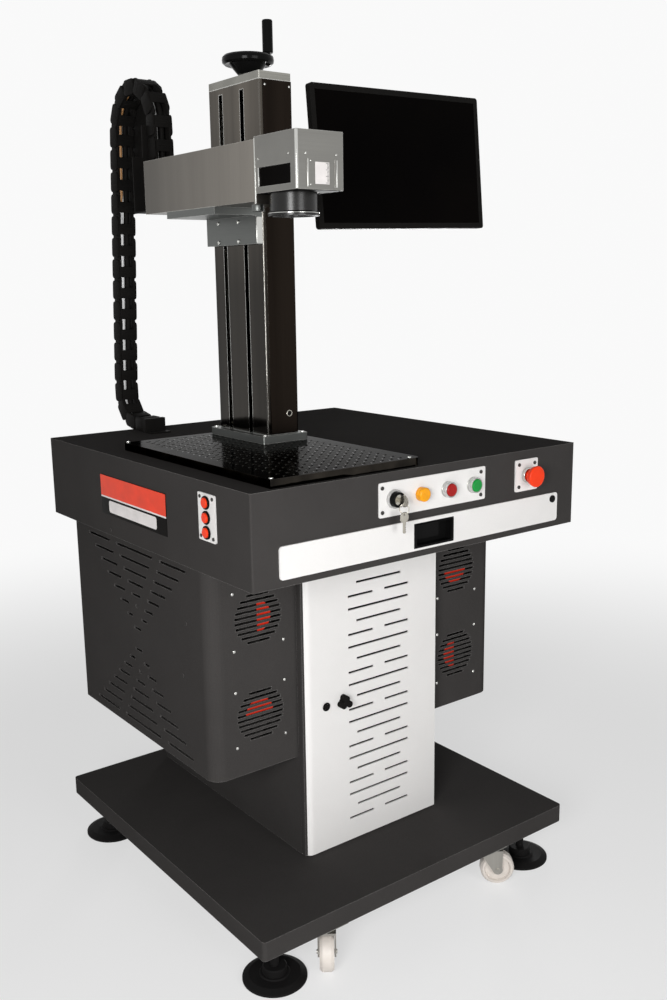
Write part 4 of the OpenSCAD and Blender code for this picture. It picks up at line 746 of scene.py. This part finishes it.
def makeWorkPlate():
    f = plateFacts
    pitch = mm(f["pitch"])
    middle = at(f["firstX"], f["firstY"], f["top"])
    clearSelection()
    bpy.ops.mesh.primitive_plane_add(size=pitch, location=middle)
    plate = takeNew("workPlateGrid")
    bpy.ops.object.mode_set(mode="EDIT")
    bpy.ops.mesh.select_all(action="SELECT")
    bpy.ops.mesh.inset(thickness=pitch / 2 - mm(f["holeRadius"]))
    bpy.ops.mesh.bevel(offset=mm(f["holeRadius"] * 0.586), segments=1, affect="VERTICES")
    closeEdit()
    pickParts(plate, "face", lambda place, normal: (place - middle).length < mm(0.2))
    bpy.ops.mesh.delete(type="FACE")
    closeEdit()
    for count, step in ((f["columns"], (pitch, 0, 0)), (f["rows"], (0, pitch, 0))):
        repeat = plate.modifiers.new("repeat", "ARRAY")
        repeat.count, repeat.use_relative_offset, repeat.use_constant_offset = count, False, True
        repeat.constant_offset_displace = step
        repeat.use_merge_vertices, repeat.merge_threshold = True, mm(0.01)
        bpy.ops.object.modifier_apply(modifier=repeat.name)
    # the grid's outer edges are drawn out to the plate's outline
    firstX, firstY = f["firstX"] - f["pitch"] / 2, f["firstY"] - f["pitch"] / 2
    low = at(firstX, firstY, 0)
    wide, deep = f["columns"] * f["pitch"], f["rows"] * f["pitch"]
    high = low + Vector((mm(wide), mm(deep), 0))
    pickParts(plate, "edge", lambda ends: any(all(abs(end[k] - side[k]) < 1e-5 for end in ends)
                                              for side in (low, high) for k in (0, 1)))
    stretchX = (f["right"] - f["left"]) / wide
    stretchY = (f["rear"] - f["front"]) / deep
    fixed = at((f["left"] - firstX * stretchX) / (1 - stretchX), (f["front"] - firstY * stretchY) / (1 - stretchY),
               f["top"])
    bpy.ops.mesh.extrude_edges_move()
    bpy.ops.transform.resize(value=(stretchX, stretchY, 1), center_override=fixed)
    closeEdit()
    ends = [at(f["right"], y, f["top"]) for y in (f["front"], f["rear"])]
    pickParts(plate, "corner", lambda places: any((places[0] - end).length < 1e-5 for end in ends))
    bpy.ops.mesh.bevel(offset=mm(f["cornerRadius"]), segments=6, affect="VERTICES")
    bpy.ops.mesh.select_all(action="SELECT")
    bpy.ops.mesh.extrude_region_move(TRANSFORM_OT_translate={"value": (0, 0, -mm(f["thickness"]))})
    bpy.ops.mesh.select_all(action="SELECT")
    bpy.ops.mesh.normals_make_consistent(inside=False)
    closeEdit()
    roundEdges(plate, 0.5, 1, 50)
    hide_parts("work_plate")
    dress(plate, "blackAnodised", "frame", "black_gloss")


makeWorkPlate()

# Column: the black cover strip on its front with two screws and a plug near its foot
columnFacts = {"low": (-120, -66.1, 923.5), "high": (-57.5, -65.5, 1559), "plug": (-77.5, -65.9, 961),
               "screwX": (-62.5, -115), "screwZ": 1550}


def makeColumnDetails():
    facts = columnFacts
    cover = startBlock("columnCover", facts["low"], facts["high"])
    pressFace(cover, "-y", 2.5, (0, 0.2, 0))
    dress(roundEdges(cover, 0.15, 2), "coverBlack", "frame", "black_gloss")
    ring = makeCollar("plugRing", facts["plug"], 6.6, 4.6, 1.4, "-y", 0.5, 32)
    dress(ring, "keyNickel", "frame", "steel")
    disc = startRound("plugDisc", facts["plug"], 4.4, 0.9, "-y", 32)
    pressFace(disc, "-y", 1.6, (0, 0.4, 0))
    dress(roundEdges(disc, 0.2, 2), "blackMoulding", "frame", "black_matt")
    setScrews("coverScrews", [(x, facts["plug"][1], facts["screwZ"]) for x in facts["screwX"]], 1.9, "-y", "frame")


makeColumnDetails()

# Door lock: a black ring round a plug with a key slot, over the lock barrel
lockFacts = {"x": -116, "z": 424, "front": -221.2, "radius": 8.4, "inner": 5.2, "out": 1.6, "plug": 5.0,
             "slot": (0.7, 2.8)}


def makeDoorLock():
    facts = lockFacts
    x, front, z = facts["x"], facts["front"], facts["z"]
    ring = makeCollar("doorLockRing", (x, front, z), facts["radius"], facts["inner"], facts["out"], "-y", 0.6, 40)
    dress(ring, "blackGloss", "door", "black_gloss")
    plug = startRound("doorLockPlug", (x, front, z), facts["plug"], facts["out"] - 0.4, "-y", 32)
    halfX, halfZ = facts["slot"]
    cutWith(plug, startBlock("lockSlot", (x - halfX, front - facts["out"] - 1, z - halfZ),
                             (x + halfX, front - 0.5, z + halfZ)))
    dress(roundEdges(plug, 0.2, 2), "blackMoulding", "door", "black_matt")


makeDoorLock()

# Charcoal strip along the door's opening side, which shows dark there
stripFacts = {"low": (-164.7, -213.5, 128.5), "high": (-157, -201.1, 731.5)}
addTrim("doorStrip", stripFacts["low"], stripFacts["high"], 0.4, 2, "charcoalCoat", "door", "charcoal")

# Drawer handle: a raised rim round the cup
cupFacts = {"low": (-44, -386.8, 751.3), "high": (50, -385, 796), "rim": 4.2}


def makeCupRim():
    rim = startBlock("cupRim", cupFacts["low"], cupFacts["high"])
    boreThrough(rim, "y", cupFacts["rim"])
    dress(roundEdges(rim, 0.5, 2), "blackGloss", "drawer", "black_gloss")


makeCupRim()

# Plugged holes on the left side: low domes in the coat's colour
plugFacts = {"places": [(-375, 114.3, 745.7), (-347, -114.2, 610.7), (-347, -95.2, 506.4)], "radius": 4.2, "out": 1.3}


def makeSidePlugs():
    plugs = [roundEdges(startRound("sidePlug", place, plugFacts["radius"], plugFacts["out"], "-x", 24), 1.1, 4)
             for place in plugFacts["places"]]
    dress(joinPieces(plugs, "sidePlugs"), "charcoalCoat", "frame", "charcoal")


makeSidePlugs()
print("work plate, column, lock and drawer details made")

# Back of the machine, a guess as the photograph hides it: a screwed service panel with louvres
rearFacts = {"low": (-128, 342, 170), "high": (128, 343.2, 690), "louvreZ": (230, 420), "louvres": 10, "louvreX": 90,
             "louvreHigh": 5, "louvreOut": 3, "corner": 9, "screwX": (-118, 118), "screwZ": (182, 430, 678)}


def makeRearPanel():
    facts = rearFacts
    back = facts["high"][1]
    panel = startBlock("rearPanel", facts["low"], facts["high"])
    bevelAlong(panel, 1, facts["corner"], 6)
    dress(roundEdges(panel, 0.5, 2), "charcoalCoat", "frame", "charcoal")
    # a pressed louvre: a strip whose lower edge is drawn out and whose ends slope back
    reach = facts["louvreX"]
    louvre = startBlock("louvre", (-reach, back - 0.2, 0), (reach, back + 0.3, facts["louvreHigh"]))
    pressFace(louvre, "y", 1.2, (0, facts["louvreOut"], -0.9))
    roundEdges(louvre, 0.4, 2, 20)
    low, high = facts["louvreZ"]
    step = (high - low) / (facts["louvres"] - 1)
    rows = [copyPiece(louvre, "rearLouvre", Matrix.Translation((0, 0, mm(low + step * i))))
            for i in range(facts["louvres"])]
    bpy.data.objects.remove(louvre)
    dress(joinPieces(rows, "rearLouvres"), "charcoalCoat", "frame", "charcoal")
    setScrews("rearScrews", [(x, back, z) for x in facts["screwX"] for z in facts["screwZ"]], 3.6, "y", "frame")


makeRearPanel()

# Monitor's back: three rows of vent ribs, turned and tilted with the screen
ventFacts = {"middle": (225, -48, 1441), "turn": 0.6, "tilt": -4.2, "roll": -1.2, "back": 23, "rows": (66, 76, -70),
             "count": 21, "pitch": 11, "ribX": 2.6, "ribZ": 3.4, "ribOut": 0.9}


def makeMonitorVents():
    facts = ventFacts
    halfX, halfZ, back = facts["ribX"], facts["ribZ"], facts["back"]
    rib = startBlock("rib", (-halfX, back - 0.4, -halfZ), (halfX, back + facts["ribOut"], halfZ), Vector())
    pressFace(rib, "y", 1.1, (0, -1.1, 0))
    roundEdges(rib, 0.25, 1)
    ribs = []
    for z in facts["rows"]:
        for i in range(facts["count"]):
            place = Vector(((i - facts["count"] // 2) * facts["pitch"], 0, z)) / 1000
            ribs.append(copyPiece(rib, "vent", Matrix.Translation(place)))
    bpy.data.objects.remove(rib)
    vents = joinPieces(ribs, "monitorVents")
    turned = Matrix.Translation(at(*facts["middle"]))
    for name, axis in (("turn", "Z"), ("tilt", "X"), ("roll", "Y")):
        turned = turned @ Matrix.Rotation(math.radians(facts[name]), 4, axis)
    vents.data.transform(turned)
    dress(vents, "blackMoulding", "screen", "black_matt")


makeMonitorVents()
print("service panel and monitor vents made")

# Marking head: scale plate, window glass, slit edges, a dark plate under it as painted shade, and bright strips
headFacts = {
    "front": -315, "scaleX": (-191, -163), "scaleZ": (1358.5, 1392), "scaleOut": 0.6, "ticks": 16,
    "tickStep": 2, "tickLong": 6, "tickShort": 3.5, "tickHalf": 0.35,
    "windowLow": (-225.2, -298.6, 1360.4), "windowHigh": (-224.2, -209.4, 1390.1),
    "slitX": (-205.7, -148.2), "slitZ": (1354, 1396),
    "shadePlateLow": (-225, -313, 1349.2), "shadePlateHigh": (-137, -201, 1350), "lensHole": (-181, -241, 1345), "hole": 42.6,
    "stop": (-214, -184, 1323), "lensRing": (42.9, 41.5), "lensRingUp": 4.1,
    # bright strips: low and high corner, rounding and its segments
    "windowStrip": ((-227.3, -209.2, 1360.8), (-225.5, -206.4, 1390.2), 0.4, 2),
    "strips": {
        "headCorner": ((-227.5, -315.5, 1350.4), (-223.2, -311.2, 1439.6), 0.9, 3),
        "armTrim": ((-227.6, -199, 1334), (-226, -196.2, 1437.6), 0.4, 2),
        "carriageEdge": ((-141, -67, 1276), (-128, -66.1, 1322.6), 0.3, 2),
    },
}


def makeHeadDetails():
    facts = headFacts
    front, scaleFront = facts["front"], facts["front"] - facts["scaleOut"]
    (left, right), (low, high) = facts["scaleX"], facts["scaleZ"]
    addTrim("scalePlate", (left, scaleFront, low), (right, front, high), 0.2, 1, "labelWhite", "lift", "white_panel")
    ticks = []
    tickRight = right - 1
    for step in range(facts["ticks"]):
        z = low + (step + 1) * facts["tickStep"]
        length = facts["tickShort"] if step % 5 else facts["tickLong"]
        tick = startBlock("scaleTick", (tickRight - length, scaleFront - 0.15, z - facts["tickHalf"]),
                          (tickRight, scaleFront, z + facts["tickHalf"]))
        ticks.append(roundEdges(tick, 0.05, 1))
    dress(joinPieces(ticks, "scaleTicks"), "blackMoulding", "lift", "black_matt")
    window = startBlock("headWindow", facts["windowLow"], facts["windowHigh"])
    pressFace(window, "-x", 2, (0.3, 0, 0))
    dress(roundEdges(window, 0.15, 1), "screenGlass", "lift", "glass_dark")
    addTrim("windowStrip", *facts["windowStrip"])
    lines = []
    slitLow, slitHigh = facts["slitZ"]
    for x in facts["slitX"]:
        line = startBlock("slitLine", (x - 1.2, front - 1.5, slitLow), (x + 1.2, front - 0.6, slitHigh))
        lines.append(roundEdges(line, 0.35, 2))
    dress(joinPieces(lines, "slitLines"), "brightSteel", "lift", "chrome")
    # painted shade: a dark plate under the head stands in for the shade beneath it
    cover = startBlock("headUndersideShadePlate", facts["shadePlateLow"], facts["shadePlateHigh"])
    cutWith(cover, startRound("lensHole", facts["lensHole"], facts["hole"], 10, "z", 64))
    dress(roundEdges(cover, 0.2, 1), "blackMoulding", "lift", "black_matt")
    for name, strip in facts["strips"].items():
        addTrim(name, *strip)
    stop = startRound("armStop", facts["stop"], 10.5, 11, "z", 32)
    pressFace(stop, "-z", 3, (0, 0, 2))
    dress(roundEdges(stop, 0.8, 2), "carriageSteel", "lift", "steel")
    low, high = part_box("lens_barrel")
    middle = ((low + high) / 2 - deskMiddle) * 1000
    rim = makeCollar("lensRimLine", (middle.x, middle.y, low.z * 1000 + facts["lensRingUp"]), *facts["lensRing"], 1.1,
                     "z", 0.3, 64)
    dress(rim, "brightSteel", "lift", "chrome")


makeHeadDetails()

# Energy chain: links with plates, pins and bars round three cables, laid in a loop between frame and arm
chainFacts = {
    "x": -169, "links": 25, "width": 42, "thickness": 30, "lowRadius": 60, "topRadius": 82, "topZ": 1513,
    "startY": 318, "lowY": 376, "topY": 308, "startZ": 908.8, "endZ": 1352.3,
    "plate": 4, "plateCorner": 7, "lap": 0.4, "bar": 3,
    # from its outer run, which stays on the desk, to its inner run, which goes with the arm
    "blendY": (372, 244), "blendZ": 1500,
    # height at which the white and the tan cable change places, over how many mm, and the share of the route
    # that lies before the arch's inner side
    "crossZ": 1330, "crossHigh": 60, "archShare": 0.62, "cablePoints": 90,
}


def chainRoute():
    # the chain's middle line, as a function from a distance in mm to a point, and its length
    f = chainFacts
    rise = f["topZ"] - f["startZ"] - f["lowRadius"]
    back = f["topY"] - f["lowY"]
    radii = f["lowRadius"] - f["topRadius"]
    far = math.hypot(back, rise)
    lean = math.atan2(rise, back) - math.acos(radii / far)
    # legs: how long each is, and the radius it turns at, or 0 where it is straight
    legs = [(f["lowY"] - f["startY"], 0), (f["lowRadius"] * (math.pi / 2 + lean), f["lowRadius"]),
            (math.sqrt(far ** 2 - radii ** 2), 0), (f["topRadius"] * (math.pi - lean), f["topRadius"]),
            (f["topZ"] - f["endZ"], 0)]

    def point(s):
        y, z, heading = f["startY"], f["startZ"], 0
        for length, radius in legs:
            part = min(s, length)
            if radius:
                turned = heading + part / radius
                y += radius * (math.sin(turned) - math.sin(heading))
                z += radius * (math.cos(heading) - math.cos(turned))
                heading = turned
            else:
                y += part * math.cos(heading)
                z += part * math.sin(heading)
            s -= part
        return y, z

    return point, sum(length for length, radius in legs)


def linkPart(low, high, rounding, segments=2, corner=0):
    # a part of one link at the origin: X along the chain, Y to its inner side, Z across
    part = startBlock("linkPart", low, high, Vector())
    if corner:
        bevelAlong(part, 2, corner, 3)
    return roundEdges(part, rounding, segments, 50)


def linkPin(x, z, radius, length):
    clearSelection()
    bpy.ops.mesh.primitive_cylinder_add(vertices=16, radius=mm(radius), depth=mm(length), location=(mm(x), 0, mm(z)))
    pin = takeNew("linkPin")
    pickParts(pin, "face", lambda middle, normal: abs(normal.z) > 0.9)
    bpy.ops.mesh.inset(thickness=mm(radius * 0.35))
    bpy.ops.transform.resize(value=(1, 1, 0.92))
    closeEdit()
    return roundEdges(pin, 0.3, 1)


def makeLink(length):
    f = chainFacts
    half, r, plate, bar = f["width"] / 2, f["thickness"] / 2, f["plate"], f["bar"]
    innerFace = half - plate + f["lap"]
    parts = []
    for side in (-1, 1):
        outer = sorted((side * half, side * (half - plate)))
        inner = sorted((side * innerFace, side * (innerFace - plate)))
        rib = sorted((side * half, side * (half - 1)))
        parts.append(linkPart((0, -r, outer[0]), (length * 0.9, r, outer[1]), 0.8, 2, f["plateCorner"]))
        parts.append(linkPart((length * 0.36, -r * 0.96, inner[0]), (length + r * 0.4, r * 0.96, inner[1]), 0.8, 2,
                              f["plateCorner"]))
        parts.append(linkPin(r * 0.42, side * (half - 2.1), r * 0.42, 4.4))
        parts.append(linkPart((length * 0.3, -r * 0.78, rib[0] - 0.2), (length * 0.36, r * 0.78, rib[1] + 0.2), 0.3, 1))
    for y, lip in ((-r, -0.4), (r - bar, 0.4)):
        parts.append(linkPart((length * 0.08, y, -half + 1), (length * 0.58, y + bar, half - 1), 0.9))
        parts.append(linkPart((length * 0.30, y + lip, -half + 6), (length * 0.38, y + bar + lip, half - 6), 0.3, 1))
    return joinPieces(parts, "linkMaster")


def linkPlace(point, start, end):
    a, b = point(start), point(end)
    angle = math.atan2(b[1] - a[1], b[0] - a[0])
    axes = Matrix(((0, 0, 1), (math.cos(angle), -math.sin(angle), 0), (math.sin(angle), math.cos(angle), 0))).to_4x4()
    return Matrix.Translation(at(chainFacts["x"], a[0], a[1])) @ axes


def makeChain():
    point, total = chainRoute()
    count = chainFacts["links"]
    step = total / count
    master = makeLink(step)
    links = [copyPiece(master, "chainLink", linkPlace(point, i * step, (i + 1) * step - 0.01)) for i in range(count)]
    bpy.data.objects.remove(master)
    chain = joinPieces(links, "chainLinks")
    paint(chain, "blackMoulding", "black_matt")
    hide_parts("drag_chain")
    blendChain(chain)


def blendChain(piece):
    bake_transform(piece)


# across the chain from its middle, and off its middle line below and above the crossing
chainCables = [
    {"name": "cableWhite", "finish": "cableWhite", "slot": "white_panel", "across": -9, "radius": 4.2, "near": 8.5,
     "far": 1},
    {"name": "cableTan", "finish": "cableTan", "slot": "castor_cream", "across": -9, "radius": 4.2, "near": 1,
     "far": 8.5},
    {"name": "cableBlack", "finish": "blackMoulding", "slot": "black_matt", "across": 5, "radius": 6, "near": 3,
     "far": 3},
]


def makeCable(facts):
    # laid along the chain
    point, total = chainRoute()
    curve = bpy.data.curves.new(facts["name"], "CURVE")
    curve.dimensions, curve.bevel_depth, curve.bevel_resolution = "3D", mm(facts["radius"]), 3
    curve.use_fill_caps = True
    line = curve.splines.new("POLY")
    count = chainFacts["cablePoints"]
    line.points.add(count - 1)
    for i in range(count):
        s = 6 + (total - 14) * i / (count - 1)
        a, b = point(s - 1), point(s + 1)
        angle = math.atan2(b[1] - a[1], b[0] - a[0])
        y, z = point(s)
        share = 1
        if s < total * chainFacts["archShare"]:
            share = min(1, max(0, (z - chainFacts["crossZ"]) / chainFacts["crossHigh"]))
        offset = facts["near"] * (1 - share) + facts["far"] * share
        place = at(chainFacts["x"] + facts["across"], y - math.sin(angle) * offset, z + math.cos(angle) * offset)
        line.points[i].co = (*place, 1)
    cable = bpy.data.objects.new(facts["name"], curve)
    scene.collection.objects.link(cable)
    makeActive(cable)
    bpy.ops.object.convert(target="MESH")
    cable = bpy.context.object
    bpy.ops.object.shade_smooth_by_angle(angle=math.radians(60))
    paint(cable, facts["finish"], facts["slot"])
    blendChain(cable)


# Black sheet beside the loop, on the chain's plate behind the arm
shieldFacts = {"low": (-146.6, 246, 1352), "high": (-145.1, 402, 1580), "cornerRadius": 70}


def makeChainShield():
    facts = shieldFacts
    sheet = startBlock("chainShield", facts["low"], facts["high"])
    bevelAlong(sheet, 0, facts["cornerRadius"], 10, lambda end: end.z > mm(facts["high"][2] - 1))
    dress(roundEdges(sheet, 0.4, 2, 60), "blackMoulding", "lift", "black_matt")


makeChainShield()
makeChain()
for cableFacts in chainCables:
    makeCable(cableFacts)
print("energy chain made")


# Floor

def makeFloor():
    # White paper sweep: matt, and far from the machine it turns into the backdrop
    clearSelection()
    bpy.ops.mesh.primitive_plane_add(size=studio["floorSize"], location=(0, 0, 0))
    floor = bpy.context.object
    floor.name = "studioFloor"
    finish = newFinish("paleFloor")
    cloud = addNode(finish, "ShaderNodeTexNoise", {"Scale": 3, "Detail": 2}, {"Vector": objectPlace(finish)})
    tone = addNode(finish, "ShaderNodeValToRGB", links={"Fac": cloud}, stops=twoTones(grey(0.90), grey(0.92)))
    shader = addNode(finish, "ShaderNodeBsdfPrincipled", {"Roughness": 0.9, "Specular IOR Level": 0},
                     {"Base Color": tone})
    outward = objectPlace(finish, [1 / studio["floorFar"]] * 3)
    middle = addNode(finish, "ShaderNodeTexGradient", links={"Vector": outward}, gradient_type="SPHERICAL")
    nearValue = 1 - studio["floorNear"] / studio["floorFar"]
    far = addNode(finish, "ShaderNodeMapRange", {"From Min": nearValue, "From Max": 0, "To Min": studio["floorShare"]},
                  {"Value": middle.outputs["Fac"]}, interpolation_type="SMOOTHSTEP")
    shown = addNode(finish, "ShaderNodeMath", links={0: far, 1: seenRays(finish)}, operation="MULTIPLY")
    paper = addNode(finish, "ShaderNodeEmission", {"Color": grey(studio["backdrop"]), "Strength": 1})
    both = addNode(finish, "ShaderNodeMixShader", links={0: shown, 1: shader, 2: paper})
    addNode(finish, "ShaderNodeOutputMaterial", links={"Surface": both})
    floor.data.materials.append(finish)


makeFloor()
bpy.data.objects.remove(screwMaster)
